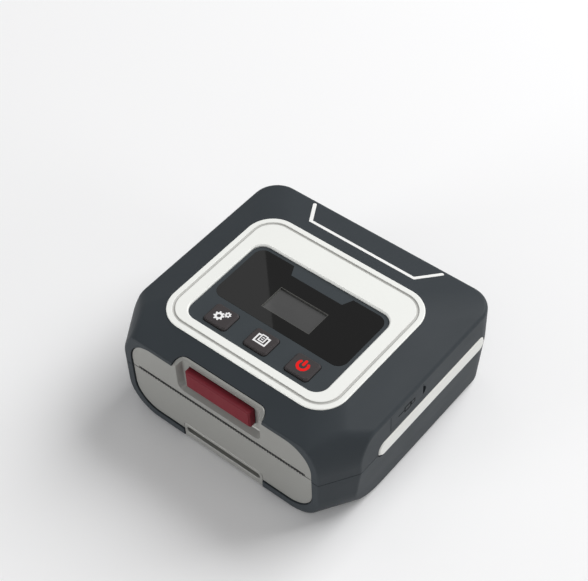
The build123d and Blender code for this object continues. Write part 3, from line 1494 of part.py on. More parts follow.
with BuildPart() as port_cover:
    hinge_end_y = flap_front_y + flap_gap + flap_thickness / 2
    free_end_y = flap_rear_y - flap_gap
    flap_outer_x = case_width / 2
    flap_inner_x = flap_outer_x - flap_thickness
    with BuildSketch(Plane.XY.offset(flap_low_z + flap_gap)):
        with BuildLine():
            Line((flap_outer_x, hinge_end_y), (flap_outer_x, free_end_y))
            Line((flap_outer_x, free_end_y), (flap_inner_x, free_end_y))
            Line((flap_inner_x, free_end_y), (flap_inner_x, hinge_end_y))
            ThreePointArc(
                (flap_inner_x, hinge_end_y),
                (flap_outer_x - flap_thickness / 2, hinge_end_y - flap_thickness / 2),
                (flap_outer_x, hinge_end_y),
            )
        make_face()
    extrude(amount=flap_top_z - flap_low_z - 2 * flap_gap)
    plug_y = (port_y - port_width / 2 + 1.2, port_y + port_width / 2 - 1.2)
    plug_z = (port_z - port_height / 2 + 0.9, port_z + port_height / 2 - 0.9)
    add(block(flap_inner_x - flap_plug, flap_inner_x, *plug_y, *plug_z))
save(port_cover.part, "port_cover")


# Battery, its door and the driver board

with BuildPart() as battery_pack:
    with BuildSketch(Plane.XY.offset(door_top_z + 0.1)):
        with Locations((0, battery_y)):
            pack_width = 2 * (battery_half - 3 * door_ledge)
            RectangleRounded(pack_width, battery_rear_y - battery_front_y - 1.4, 2.0)
    extrude(amount=battery_height)
    fillet(battery_pack.edges().filter_by(Axis.X), 1.6)
save(battery_pack.part, "battery_pack")

with BuildPart() as battery_door:
    with BuildSketch(Plane.XY.offset(base_z)):
        with Locations((0, battery_y)):
            Rectangle(2 * (hatch_half - door_play), hatch_rear_y - hatch_front_y - 2 * door_play)
    extrude(amount=door_top_z - base_z)
    for screw_x, screw_y in door_screws:
        add(post(screw_x, screw_y, base_z - 1, base_z + 2, screw_radius + screw_play), mode=Mode.SUBTRACT)
        sink_top_z = base_z + door_sink_depth
        add(post(screw_x, screw_y, base_z - 1, sink_top_z, door_sink_radius), mode=Mode.SUBTRACT)
save(battery_door.part, "battery_door")

with BuildPart() as driver_board:
    board_left = -driver_board_x - driver_board_half
    board_right = driver_board_half - driver_board_x
    driver_top_z = driver_board_z + board_thickness
    board_y = (driver_board_front_y, driver_board_rear_y)
    add(block(board_left, board_right, *board_y, driver_board_z, driver_top_z))
    chip_top_z = driver_top_z + driver_chip_height
    add(block(board_left + 2, board_right - 2, roll_y - 24.0, roll_y - 16.0, driver_top_z, chip_top_z))
    coil_top_z = driver_top_z + driver_coil_height
    add(block(board_left + 3, board_right - 3, roll_y - 8.0, roll_y, driver_top_z, coil_top_z))
save(driver_board.part, "driver_board")


# Hinge pins, lid springs and the latch's return springs

with BuildPart() as hinge_pins:
    for side in (-1, 1):
        add(rod(side * pin_inner_x, side * pin_outer_x, hinge_y, hinge_z, pin_radius))
save(hinge_pins.part, "hinge_pins")

with BuildPart() as lid_springs:
    winding = (lid_spring_radius, lid_spring_wire, lid_spring_turns, lid_spring_length)
    for start_x in (lid_spring_x, -lid_spring_x - lid_spring_length):
        add(coil((start_x, hinge_y, hinge_z), (1, 0, 0), *winding))
save(lid_springs.part, "lid_springs")

with BuildPart() as latch_springs:
    for side in (-1, 1):
        seat = (side * latch_spring_x, latch_bar_rear_y, cross_bar_z + cross_bar_thickness / 2)
        add(coil(seat, (0, 1, 0), 0.5, 0.25, 4, latch_spring_gap))
save(latch_springs.part, "latch_springs")


# Screws and feet


def pan_screw(x, y, head_low, head_high, tip, radius, head_radius):
    """Pan-headed screw standing on its head, with a cross recess."""
    with BuildPart() as screw:
        add(post(x, y, head_low, head_high, head_radius))
        add(post(x, y, min(head_high, tip), max(head_high, tip), radius))
        for length, width in ((head_radius * 1.2, 0.5), (0.5, head_radius * 1.2)):
            recess = (x - length / 2, x + length / 2, y - width / 2, y + width / 2)
            add(block(*recess, head_low - 0.1, head_low + 0.5), mode=Mode.SUBTRACT)
    return screw.part


with BuildPart() as base_screws:
    for screw_x, screw_y in base_screws_xy:
        head = (base_z + 0.1, base_z + 1.0)
        add(pan_screw(screw_x, screw_y, *head, tub_leg_z + 4.5, screw_radius, screw_head_radius))
    for screw_x, screw_y in door_screws:
        add(pan_screw(screw_x, screw_y, base_z, base_z + 0.6, base_z + 1.9, screw_radius, 1.9))
save(base_screws.part, "base_screws")

with BuildPart() as cover_screws:
    for (boss_x, boss_y), boss_low in zip(boss_places, boss_bottoms):
        plate_low = cross_bar_z if boss_y < 0 else rear_flat_z
        head = (plate_low - 1.0, plate_low)
        add(pan_screw(boss_x, boss_y, *head, boss_low + 3.5, screw_radius, screw_head_radius))
save(cover_screws.part, "cover_screws")

with BuildPart() as feet:
    for foot_x, foot_y in foot_places:
        add(post(foot_x, foot_y, 0, base_z + foot_seat, foot_radius))
    chamfer(feet.edges().filter_by(GeomType.CIRCLE).group_by(Axis.Z)[0], 0.3)
save(feet.part, "feet")
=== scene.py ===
"""Portable label printer: finishes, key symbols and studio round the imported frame."""

import logging
import math
from dataclasses import dataclass, field
from enum import Enum
from typing import ClassVar, Iterable, Sequence

import bmesh
import bpy
from mathutils import Matrix, Vector


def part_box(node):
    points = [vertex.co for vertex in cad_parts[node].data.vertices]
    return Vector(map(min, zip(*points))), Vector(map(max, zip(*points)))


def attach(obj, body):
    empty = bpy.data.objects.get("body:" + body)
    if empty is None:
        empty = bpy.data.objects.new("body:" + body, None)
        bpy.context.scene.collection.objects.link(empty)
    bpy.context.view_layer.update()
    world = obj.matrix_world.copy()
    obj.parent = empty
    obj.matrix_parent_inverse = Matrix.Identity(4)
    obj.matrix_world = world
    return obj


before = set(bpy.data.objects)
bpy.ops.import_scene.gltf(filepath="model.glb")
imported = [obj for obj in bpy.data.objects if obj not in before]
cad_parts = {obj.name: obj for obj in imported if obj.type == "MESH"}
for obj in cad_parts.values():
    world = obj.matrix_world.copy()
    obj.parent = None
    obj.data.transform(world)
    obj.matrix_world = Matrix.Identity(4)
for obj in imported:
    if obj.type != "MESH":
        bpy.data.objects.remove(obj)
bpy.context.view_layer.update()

LOG = logging.getLogger("label_printer")
MM = 0.001

# Sockets of a Mix node for colours
MIX_FIRST = 6
MIX_SECOND = 7
MIX_RESULT = 2

# Range in which most of a noise factor lies
NOISE_LOW = 0.3
NOISE_HIGH = 0.7

Point = tuple[float, float]
Colour = tuple[float, float, float]


class Grain(Enum):
    """Fine surface texture: octaves of its noise, and stretch along X, Y and Z."""

    NONE = None
    SPARK = (2, (1, 1, 1))
    BRUSHED = (2, (0.02, 1, 1))
    CAST = (6, (1, 1, 1))


def linear(red: int, green: int, blue: int) -> Colour:
    """Turn an 8-bit display colour into the linear colour a shader takes.

    Args:
        red: red channel, 0 to 255.
        green: green channel, 0 to 255.
        blue: blue channel, 0 to 255.

    Returns:
        The three linear channels, 0 to 1.
    """

    def channel(value: int) -> float:
        """Linear value of one channel."""
        share = value / 255
        return share / 12.92 if share <= 0.04045 else ((share + 0.055) / 1.055) ** 2.4

    return channel(red), channel(green), channel(blue)


def placed(name: str, data: bpy.types.ID) -> bpy.types.Object:
    """Make an object and put it in the scene.

    Args:
        name: name of the object.
        data: its mesh, curve, lamp or camera.

    Returns:
        The new object.
    """
    made = bpy.data.objects.new(name, data)
    bpy.context.scene.collection.objects.link(made)
    return made


def meshed(name: str, builder: bmesh.types.BMesh) -> bpy.types.Mesh:
    """Turn what a builder holds into a mesh, and free the builder.

    Args:
        name: name of the mesh.
        builder: builder that holds the faces.

    Returns:
        The new mesh.
    """
    mesh = bpy.data.meshes.new(name)
    builder.to_mesh(mesh)
    builder.free()
    return mesh


class NodeBench:
    """Small helper that lays out shader nodes for one material."""

    def __init__(self, name: str) -> None:
        """Start an empty material with a Principled shader.

        Args:
            name: name of the material.
        """
        self.material = bpy.data.materials.new(name)
        self.material.use_nodes = True
        self.tree = self.material.node_tree
        self.shader = self.tree.nodes["Principled BSDF"]

    def add(self, kind: str, **settings: object) -> bpy.types.Node:
        """Add a node and set its properties.

        Args:
            kind: Blender's name of the node type.
            settings: properties to set on the node.

        Returns:
            The new node.
        """
        node = self.tree.nodes.new(kind)
        for key, value in settings.items():
            setattr(node, key, value)
        return node

    def link(
        self, source: bpy.types.NodeSocket, target: bpy.types.NodeSocket
    ) -> None:
        """Join two sockets."""
        self.tree.links.new(source, target)

    def place(self, stretch: Sequence[float] = (1, 1, 1)) -> bpy.types.NodeSocket:
        """Object coordinates, stretched along each axis.

        Args:
            stretch: scale along X, Y and Z.

        Returns:
            The vector output.
        """
        coordinates = self.add("ShaderNodeTexCoord")
        mapping = self.add("ShaderNodeMapping")
        mapping.inputs["Scale"].default_value = tuple(stretch)
        self.link(coordinates.outputs["Object"], mapping.inputs["Vector"])
        return mapping.outputs["Vector"]

    def noise(
        self, waves: float, octaves: float, stretch: Sequence[float] = (1, 1, 1)
    ) -> bpy.types.NodeSocket:
        """Smooth noise in object space.

        Args:
            waves: waves per metre.
            octaves: number of finer octaves.
            stretch: scale along X, Y and Z.

        Returns:
            The noise factor output.
        """
        texture = self.add("ShaderNodeTexNoise")
        texture.inputs["Scale"].default_value = waves
        texture.inputs["Detail"].default_value = octaves
        self.link(self.place(stretch), texture.inputs["Vector"])
        return texture.outputs["Fac"]

    def span(
        self, value: bpy.types.NodeSocket, low: float, high: float
    ) -> bpy.types.NodeSocket:
        """Map a noise factor onto a range.

        Args:
            value: noise factor.
            low: result at the low end.
            high: result at the high end.

        Returns:
            The mapped output.
        """
        mapped = self.add("ShaderNodeMapRange")
        mapped.inputs["From Min"].default_value = NOISE_LOW
        mapped.inputs["From Max"].default_value = NOISE_HIGH
        mapped.inputs["To Min"].default_value = low
        mapped.inputs["To Max"].default_value = high
        self.link(value, mapped.inputs["Value"])
        return mapped.outputs["Result"]

    def blend(
        self, factor: bpy.types.NodeSocket, first: Colour, second: Colour
    ) -> bpy.types.NodeSocket:
        """Mix two colours by a factor.

        Args:
            factor: mixing factor, 0 to 1.
            first: colour at 0.
            second: colour at 1.

        Returns:
            The colour output.
        """
        mix = self.add("ShaderNodeMix", data_type="RGBA")
        self.link(factor, mix.inputs["Factor"])
        mix.inputs[MIX_FIRST].default_value = (*first, 1)
        mix.inputs[MIX_SECOND].default_value = (*second, 1)
        return mix.outputs[MIX_RESULT]

    def bump(self, height: bpy.types.NodeSocket, distance: float) -> None:
        """Add surface relief.

        Args:
            height: height factor.
            distance: depth of the relief in metres.
        """
        relief = self.add("ShaderNodeBump")
        relief.inputs["Distance"].default_value = distance
        self.link(height, relief.inputs["Height"])
        self.link(relief.outputs["Normal"], self.shader.inputs["Normal"])


@dataclass(frozen=True)
class Finish:
    """One finish: its colour, gloss, fine texture and small variation.

    Attributes:
        name: name of the material.
        colour: linear base colour.
        roughness: middle roughness.
        roughness_spread: how far roughness wanders to either side.
        colour_spread: share by which colour wanders.
        metallic: 0 for plastic, 1 for bare metal.
        coat: weight of a clear coat.
        specular: specular level.
        grain: kind of fine texture.
        grain_size: size of one grain in metres.
        grain_depth: depth of the texture in metres.
        wear: how much lighter exposed edges get.
        coat_roughness: roughness of the clear coat.
        drift: waves per metre and octaves of the colour's wander.
        smear: waves per metre and octaves of the roughness's wander.
        smear_stretch: stretch of that wander along X, Y and Z.
        edge_range: pointiness at which wear starts, and at which it is full.
        edge_lift: share by which a worn edge is lighter.
    """

    name: str
    colour: Colour
    roughness: float = 0.4
    roughness_spread: float = 0.04
    colour_spread: float = 0.04
    metallic: float = 0.0
    coat: float = 0.0
    specular: float = 0.5
    grain: Grain = Grain.SPARK
    grain_size: float = 0.00035
    grain_depth: float = 0.00001
    wear: float = 0.0

    coat_roughness: ClassVar[float] = 0.05
    drift: ClassVar[tuple[float, float]] = (38, 4)
    smear: ClassVar[tuple[float, float]] = (120, 5)
    smear_stretch: ClassVar[tuple[float, float, float]] = (1.0, 0.35, 1.0)
    edge_range: ClassVar[tuple[float, float]] = (0.52, 0.62)
    edge_lift: ClassVar[float] = 1.2

    def shade(self, share: float) -> Colour:
        """Base colour made lighter or darker by a share."""
        return tuple(min(1.0, max(0.0, c * (1 + share))) for c in self.colour)

    def material(self) -> bpy.types.Material:
        """Build the node material.

        Returns:
            The finished material.
        """
        bench = NodeBench(self.name)
        shader = bench.shader
        shader.inputs["Metallic"].default_value = self.metallic
        shader.inputs["Specular IOR Level"].default_value = self.specular
        shader.inputs["Coat Weight"].default_value = self.coat
        shader.inputs["Coat Roughness"].default_value = self.coat_roughness
        drift = bench.span(bench.noise(*self.drift), 0, 1)
        colour = bench.blend(
            drift, self.shade(-self.colour_spread), self.shade(self.colour_spread)
        )
        if self.wear > 0:
            colour = self.worn(bench, colour)
        bench.link(colour, shader.inputs["Base Color"])
        rough = bench.span(
            bench.noise(*self.smear, self.smear_stretch),
            self.roughness - self.roughness_spread,
            self.roughness + self.roughness_spread,
        )
        bench.link(rough, shader.inputs["Roughness"])
        if self.grain is not Grain.NONE:
            octaves, stretch = self.grain.value
            height = bench.noise(1 / self.grain_size, octaves, stretch)
            bench.bump(height, self.grain_depth)
        return bench.material

    def worn(
        self, bench: NodeBench, colour: bpy.types.NodeSocket
    ) -> bpy.types.NodeSocket:
        """Lighten the colour where edges stand out.

        Args:
            bench: node helper of this material.
            colour: colour output so far.

        Returns:
            The lightened colour output.
        """
        geometry = bench.add("ShaderNodeNewGeometry")
        edge = bench.add("ShaderNodeMapRange")
        edge.inputs["From Min"].default_value = self.edge_range[0]
        edge.inputs["From Max"].default_value = self.edge_range[1]
        edge.inputs["To Max"].default_value = self.wear
        bench.link(geometry.outputs["Pointiness"], edge.inputs["Value"])
        mix = bench.add("ShaderNodeMix", data_type="RGBA")
        bench.link(edge.outputs["Result"], mix.inputs["Factor"])
        bench.link(colour, mix.inputs[MIX_FIRST])
        mix.inputs[MIX_SECOND].default_value = (*self.shade(self.edge_lift), 1)
        return mix.outputs[MIX_RESULT]


@dataclass(frozen=True)
class ClearFinish(Finish):
    """Smooth gray plastic of a display, with faint smears.

    Attributes:
        index: index of refraction.
    """

    grain: Grain = Grain.NONE
    index: float = 1.49

    drift: ClassVar[tuple[float, float]] = (60, 3)
    smear: ClassVar[tuple[float, float]] = (220, 4)
    smear_stretch: ClassVar[tuple[float, float, float]] = (1.0, 1.0, 1.0)

    def material(self) -> bpy.types.Material:
        """Build the node material, with the plastic's index.

        Returns:
            The finished material.
        """
        made = super().material()
        made.node_tree.nodes["Principled BSDF"].inputs["IOR"].default_value = self.index
        return made


@dataclass(frozen=True)
class BoardFinish(Finish):
    """Circuit board: lacquer over copper tracks.

    Attributes:
        track: linear colour of the tracks.
        track_scale: number of track rows in a metre, nearly.
        track_width: width of a track as a share of a row.
        track_offset: how far every other row is moved along, as a share of a patch.
        track_squash: how wide the patches of every other row are, as a share.
        track_height: height of the tracks in metres.
        patch_share: how much lighter every other patch is.
    """

    track: Colour = (0.03, 0.22, 0.09)
    track_scale: float = 300
    track_width: float = 0.06
    track_offset: float = 0.37
    track_squash: float = 0.6
    track_height: float = 0.00003
    patch_share: float = 0.15

    smear: ClassVar[tuple[float, float]] = (200, 3)

    def material(self) -> bpy.types.Material:
        """Build a board with a fine track pattern.

        Returns:
            The finished material.
        """
        bench = NodeBench(self.name)
        tracks = bench.add(
            "ShaderNodeTexBrick", offset=self.track_offset, squash=self.track_squash
        )
        tracks.inputs["Scale"].default_value = self.track_scale
        tracks.inputs["Mortar Size"].default_value = self.track_width
        tracks.inputs["Color1"].default_value = (*self.colour, 1)
        tracks.inputs["Color2"].default_value = (*self.shade(self.patch_share), 1)
        tracks.inputs["Mortar"].default_value = (*self.track, 1)
        bench.link(bench.place(), tracks.inputs["Vector"])
        bench.link(tracks.outputs["Color"], bench.shader.inputs["Base Color"])
        rough = bench.span(
            bench.noise(*self.smear),
            self.roughness - self.roughness_spread,
            self.roughness + self.roughness_spread,
        )
        bench.link(rough, bench.shader.inputs["Roughness"])
        bench.bump(tracks.outputs["Fac"], self.track_height)
        return bench.material


CASE = Finish(
    "case_slate",
    linear(55, 60, 64),
    roughness=0.5,
    roughness_spread=0.03,
    colour_spread=0.03,
    specular=0.12,
    grain_depth=0.000006,
)
INK = Finish(
    "symbol_ink",
    linear(8, 8, 9),
    roughness=0.7,
    colour_spread=0.02,
    specular=0.1,
    grain=Grain.NONE,
)
PALE = Finish(
    "frame_ivory",
    linear(244, 245, 241),
    roughness_spread=0.03,
    colour_spread=0.01,
    grain_depth=0.000004,
)
LINE = Finish(
    "line_white", linear(240, 240, 238), roughness_spread=0.03, colour_spread=0.01
)
SLATE = Finish(
    "panel_slate",
    linear(58, 64, 68),
    roughness=0.45,
    roughness_spread=0.03,
    colour_spread=0.02,
    specular=0.25,
    grain_depth=0.000004,
)
LENS = Finish(
    "lens_black",
    linear(20, 20, 20),
    roughness=0.02,
    roughness_spread=0.005,
    colour_spread=0.05,
    grain=Grain.NONE,
)
DISPLAY = ClearFinish(
    "display_gray",
    linear(78, 78, 78),
    roughness=0.05,
    roughness_spread=0.02,
    colour_spread=0.05,
)
DISPLAY_RIM = Finish("display_rim", linear(88, 88, 85), colour_spread=0.03)
KEY = Finish(
    "key_charcoal",
    linear(64, 60, 61),
    roughness=0.45,
    colour_spread=0.03,
    specular=0.2,
    grain_depth=0.000004,
)
# Painted shade: gray laid along the frame's groove to stand for the shade that falls in
# it.
GROOVE_PAINTED_SHADE = Finish(
    "groove_painted_shade",
    linear(196, 196, 192),
    roughness=0.6,
    roughness_spread=0.03,
    colour_spread=0.01,
    grain=Grain.NONE,
)
SYMBOL = Finish(
    "symbol_white",
    linear(245, 245, 245),
    roughness=0.45,
    roughness_spread=0.03,
    colour_spread=0.01,
    grain=Grain.NONE,
)
POWER = Finish(
    "symbol_red",
    linear(236, 24, 24),
    roughness=0.6,
    roughness_spread=0.03,
    colour_spread=0.02,
    specular=0.15,
    grain=Grain.NONE,
)
SILVER = Finish(
    "trim_silver",
    linear(222, 222, 218),
    colour_spread=0.015,
    specular=0.3,
    grain_depth=0.000004,
)
FRONT = Finish(
    "front_gray",
    linear(238, 238, 241),
    roughness=0.5,
    colour_spread=0.015,
    specular=0.25,
    grain_depth=0.000005,
)
RED = Finish(
    "release_red",
    linear(106, 28, 38),
    roughness=0.45,
    roughness_spread=0.03,
    colour_spread=0.03,
    specular=0.15,
    grain_depth=0.000005,
)
RUBBER = Finish(
    "rubber_black",
    linear(44, 45, 47),
    roughness=0.72,
    roughness_spread=0.06,
    colour_spread=0.08,
    grain_size=0.0003,
    wear=0.15,
)
INNER = Finish(
    "inner_black",
    linear(38, 39, 41),
    roughness=0.55,
    roughness_spread=0.05,
    colour_spread=0.06,
)
WHITE = Finish(
    "gear_white",
    linear(214, 213, 206),
    roughness=0.42,
    roughness_spread=0.05,
    colour_spread=0.03,
    grain_depth=0.000006,
)
STEEL = Finish(
    "steel_plated",
    linear(176, 177, 180),
    roughness=0.3,
    roughness_spread=0.07,
    colour_spread=0.05,
    metallic=1.0,
    grain=Grain.BRUSHED,
    grain_size=0.0002,
    grain_depth=0.000003,
    wear=0.2,
)
# Painted shade: dark colour of the comb that stands for the shadowed gaps between the
# tear bar's teeth.
TEAR_GAP_PAINTED_SHADE = Finish(
    "tear_gap_painted_shade",
    linear(40, 41, 43),
    roughness=0.5,
    roughness_spread=0.06,
    colour_spread=0.05,
    specular=0.2,
)
ALUMINIUM = Finish(
    "aluminium_drawn",
    linear(196, 198, 200),
    roughness=0.36,
    roughness_spread=0.06,
    metallic=1.0,
    grain=Grain.BRUSHED,
    grain_size=0.00025,
    grain_depth=0.000004,
)
CERAMIC = Finish(
    "head_ceramic", linear(196, 186, 160), roughness=0.2, grain=Grain.CAST
)
BRASS = Finish(
    "brass_turned",
    linear(206, 168, 88),
    roughness=0.28,
    roughness_spread=0.05,
    colour_spread=0.05,
    metallic=1.0,
    grain=Grain.BRUSHED,
)
CELL = Finish(
    "cell_sleeve",
    linear(44, 66, 112),
    roughness=0.3,
    roughness_spread=0.05,
    colour_spread=0.06,
    coat=0.3,
    grain=Grain.CAST,
)
CHIP = Finish(
    "chip_black",
    linear(30, 30, 31),
    roughness=0.5,
    roughness_spread=0.05,
    colour_spread=0.05,
    grain_size=0.0002,
)
BOARD = BoardFinish(
    "board_green", linear(18, 92, 48), roughness=0.28, roughness_spread=0.06
)


def surface(finish: Finish) -> bpy.types.Material:
    """Material of a finish, made once.

    Args:
        finish: finish to look up.

    Returns:
        The shared material.
    """
    found = bpy.data.materials.get(finish.name)
    return found or finish.material()


def dress(names: Iterable[str], finish: Finish) -> None:
    """Give frame nodes a finish.

    Args:
        names: nodes to dress.
        finish: finish they take.
    """
    for name in names:
        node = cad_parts[name]
        node.data.materials.clear()
        node.data.materials.append(surface(finish))
        LOG.info("%s dressed in %s", name, finish.name)


class Outline:
    """Closed flat outlines in millimetres, the source of thin raised symbols.

    Attributes:
        cap_steps: steps round the end of a stroke.
        ring_steps: steps along each side of an open ring.
        hole_steps: corners of a round hole.
        cog_root: radius between a cog's teeth, as a share of the cog's.
        cog_tip: half width of a tooth's tip, as a share of the pitch.
        cog_foot: half width of a tooth's foot, as a share of the pitch.
        cog_valley: where the valley's points end, as a share of the pitch.
    """

    cap_steps: int = 8
    ring_steps: int = 40
    hole_steps: int = 24
    cog_root: float = 0.76
    cog_tip: float = 0.17
    cog_foot: float = 0.28
    cog_valley: float = 0.48

    @staticmethod
    def arc(
        centre: Point, radius: float, start: float, end: float, steps: int
    ) -> list[Point]:
        """Points along an arc.

        Args:
            centre: middle of the arc.
            radius: its radius.
            start: first angle in degrees.
            end: last angle in degrees.
            steps: number of steps.

        Returns:
            The points in order.
        """
        x, y = centre
        turns = [start + (end - start) * step / steps for step in range(steps + 1)]
        angles = [math.radians(turn) for turn in turns]
        return [(x + radius * math.cos(a), y + radius * math.sin(a)) for a in angles]

    @classmethod
    def hole(cls, centre: Point, radius: float) -> list[Point]:
        """Round hole."""
        last = 360 - 360 / cls.hole_steps
        return cls.arc(centre, radius, 0, last, cls.hole_steps - 1)

    @classmethod
    def ring_stroke(
        cls, centre: Point, radius: float, width: float, start: float, end: float
    ) -> list[Point]:
        """Open ring with round ends.

        Args:
            centre: middle of the ring.
            radius: radius of its centre line.
            width: width of the stroke.
            start: first angle in degrees.
            end: last angle in degrees.

        Returns:
            The closed outline.
        """
        half = width / 2
        first, last = cls.arc(centre, radius, start, end, 1)
        outer = cls.arc(centre, radius + half, start, end, cls.ring_steps)
        cap_end = cls.arc(last, half, end, end + 180, cls.cap_steps)[1:-1]
        inner = cls.arc(centre, radius - half, end, start, cls.ring_steps)
        cap_start = cls.arc(first, half, start + 180, start + 360, cls.cap_steps)[1:-1]
        return outer + cap_end + inner + cap_start

    @classmethod
    def bar(cls, first: Point, last: Point, width: float) -> list[Point]:
        """Straight stroke with round ends.

        Args:
            first: start of the centre line.
            last: end of the centre line.
            width: width of the stroke.

        Returns:
            The closed outline.
        """
        angle = math.degrees(math.atan2(last[1] - first[1], last[0] - first[0]))
        half = width / 2
        cap_end = cls.arc(last, half, angle - 90, angle + 90, cls.cap_steps)
        cap_start = cls.arc(first, half, angle + 90, angle + 270, cls.cap_steps)
        return cap_end + cap_start

    @classmethod
    def cog(cls, centre: Point, radius: float, teeth: int, turn: float) -> list[Point]:
        """Toothed wheel.

        Args:
            centre: middle of the wheel.
            radius: radius over the teeth.
            teeth: number of teeth.
            turn: angle of the first tooth in degrees.

        Returns:
            The closed outline.
        """
        root = radius * cls.cog_root
        pitch = 360 / teeth
        tip, foot, valley = (
            pitch * share for share in (cls.cog_tip, cls.cog_foot, cls.cog_valley)
        )
        points: list[Point] = []
        for tooth in range(teeth):
            middle = turn + tooth * pitch
            points += cls.arc(centre, root, middle - pitch / 2, middle - foot, 2)
            points += cls.arc(centre, radius, middle - tip, middle + tip, 3)
            points += cls.arc(centre, root, middle + foot, middle + valley, 2)
        return points

    @staticmethod
    def box(low: Point, high: Point) -> list[Point]:
        """Rectangle between two corners."""
        return [low, (high[0], low[1]), high, (low[0], high[1])]


class Face(Enum):
    """Face of a node that a flat piece lies on."""

    TOP = "top"
    SIDE = "side"
    FRONT = "front"

    def turn(self) -> Matrix:
        """Rotation that lays a flat piece on this face.

        Returns:
            The rotation, with the piece's own Z pointing out of the face.
        """
        if self is Face.SIDE:
            return Matrix(((0, 0, 1, 0), (1, 0, 0, 0), (0, 1, 0, 0), (0, 0, 0, 1)))
        if self is Face.FRONT:
            return Matrix(((1, 0, 0, 0), (0, 0, -1, 0), (0, 1, 0, 0), (0, 0, 0, 1)))
        return Matrix.Identity(4)


def outer_middle(name: str, face: Face) -> Vector:
    """Middle of a node's outer face.

    Args:
        name: node to measure.
        face: its top, its side toward +X, or its front toward -Y.

    Returns:
        The point in metres.
    """
    low, high = (Vector(corner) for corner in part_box(name))
    middle = (low + high) / 2
    if face is Face.TOP:
        middle.z = high.z
    elif face is Face.SIDE:
        middle.x = high.x
    else:
        middle.y = low.y
    return middle


@dataclass
class RaisedSymbol:
    """Thin symbol that lies on a node.

    Attributes:
        name: name of the piece.
        body: body that carries it.
        slot_name: material slot of the record; not used.
        finish: its finish.
        outlines: closed outlines in millimetres; one inside another is a hole.
        height: thickness in millimetres.
        face: face that it lies on.
    """

    name: str
    body: str
    slot_name: str
    finish: Finish
    outlines: list[list[Point]]
    height: float = 0.03
    face: Face = Face.TOP

    def build(self, centre: Vector) -> bpy.types.Object:
        """Build the symbol as a mesh.

        Args:
            centre: point that the symbol is centred on.

        Returns:
            The finished piece.
        """
        curve = bpy.data.curves.new(self.name + "_outline", "CURVE")
        curve.dimensions = "2D"
        curve.fill_mode = "BOTH"
        curve.extrude = self.height * MM / 2
        for outline in self.outlines:
            spline = curve.splines.new("POLY")
            spline.points.add(len(outline) - 1)
            for point, (x, y) in zip(spline.points, outline):
                point.co = (x * MM, y * MM, 0, 1)
            spline.use_cyclic_u = True
        template = placed(self.name + "_template", curve)
        graph = bpy.context.evaluated_depsgraph_get()
        mesh = bpy.data.meshes.new_from_object(template.evaluated_get(graph))
        bpy.data.objects.remove(template)
        lift = Matrix.Translation((0, 0, self.height * MM / 2))
        mesh.transform(Matrix.Translation(centre) @ self.face.turn() @ lift)
        mesh.materials.clear()
        mesh.materials.append(surface(self.finish))
        piece = placed(self.name, mesh)
        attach(piece, self.body)
        LOG.info("%s rides on %s", self.name, self.body)
        return piece


@dataclass
class CaseShells:
    """Cover shell, lower shell and the small parts in their colour.

    Attributes:
        nodes: nodes in the case's colour.
        cord: ends of the cord in the plug symbol, in millimetres.
        cord_width: width of that cord in millimetres.
        plug: corners of the plug's body, its hollow, its tip and the tip's hollow,
            in millimetres.
    """

    nodes: tuple[str, ...] = ("upper_case", "lower_case", "battery_door", "port_cover")
    cord: tuple[Point, Point] = ((-5.4, 0), (-2.0, 0))
    cord_width: float = 0.55
    plug: tuple[tuple[Point, Point], ...] = (
        ((-1.65, -1.6), (2.7, 1.6)),
        ((-1.05, -1.0), (2.1, 1.0)),
        ((2.75, -1.15), (5.4, 1.15)),
        ((3.05, -0.7), (4.9, 0.7)),
    )

    def port_symbol(self) -> RaisedSymbol:
        """Plug on its cord, lying along the port cover.

        Returns:
            The symbol, not yet built.
        """
        outlines = [Outline.bar(*self.cord, self.cord_width)]
        outlines += [Outline.box(*corners) for corners in self.plug]
        return RaisedSymbol(
            "port_symbol", "port_cover", "inner_plastic", INK, outlines, face=Face.SIDE
        )

    def build(self) -> None:
        """Dress the shells and lay the plug symbol on the port cover."""
        dress(self.nodes, CASE)
        symbol = self.port_symbol()
        symbol.build(outer_middle("port_cover", Face.SIDE))
        dress(("feet",), RUBBER)
        dress(("rear_line",), LINE)
        dress(("side_strip_left", "side_strip_right"), SILVER)


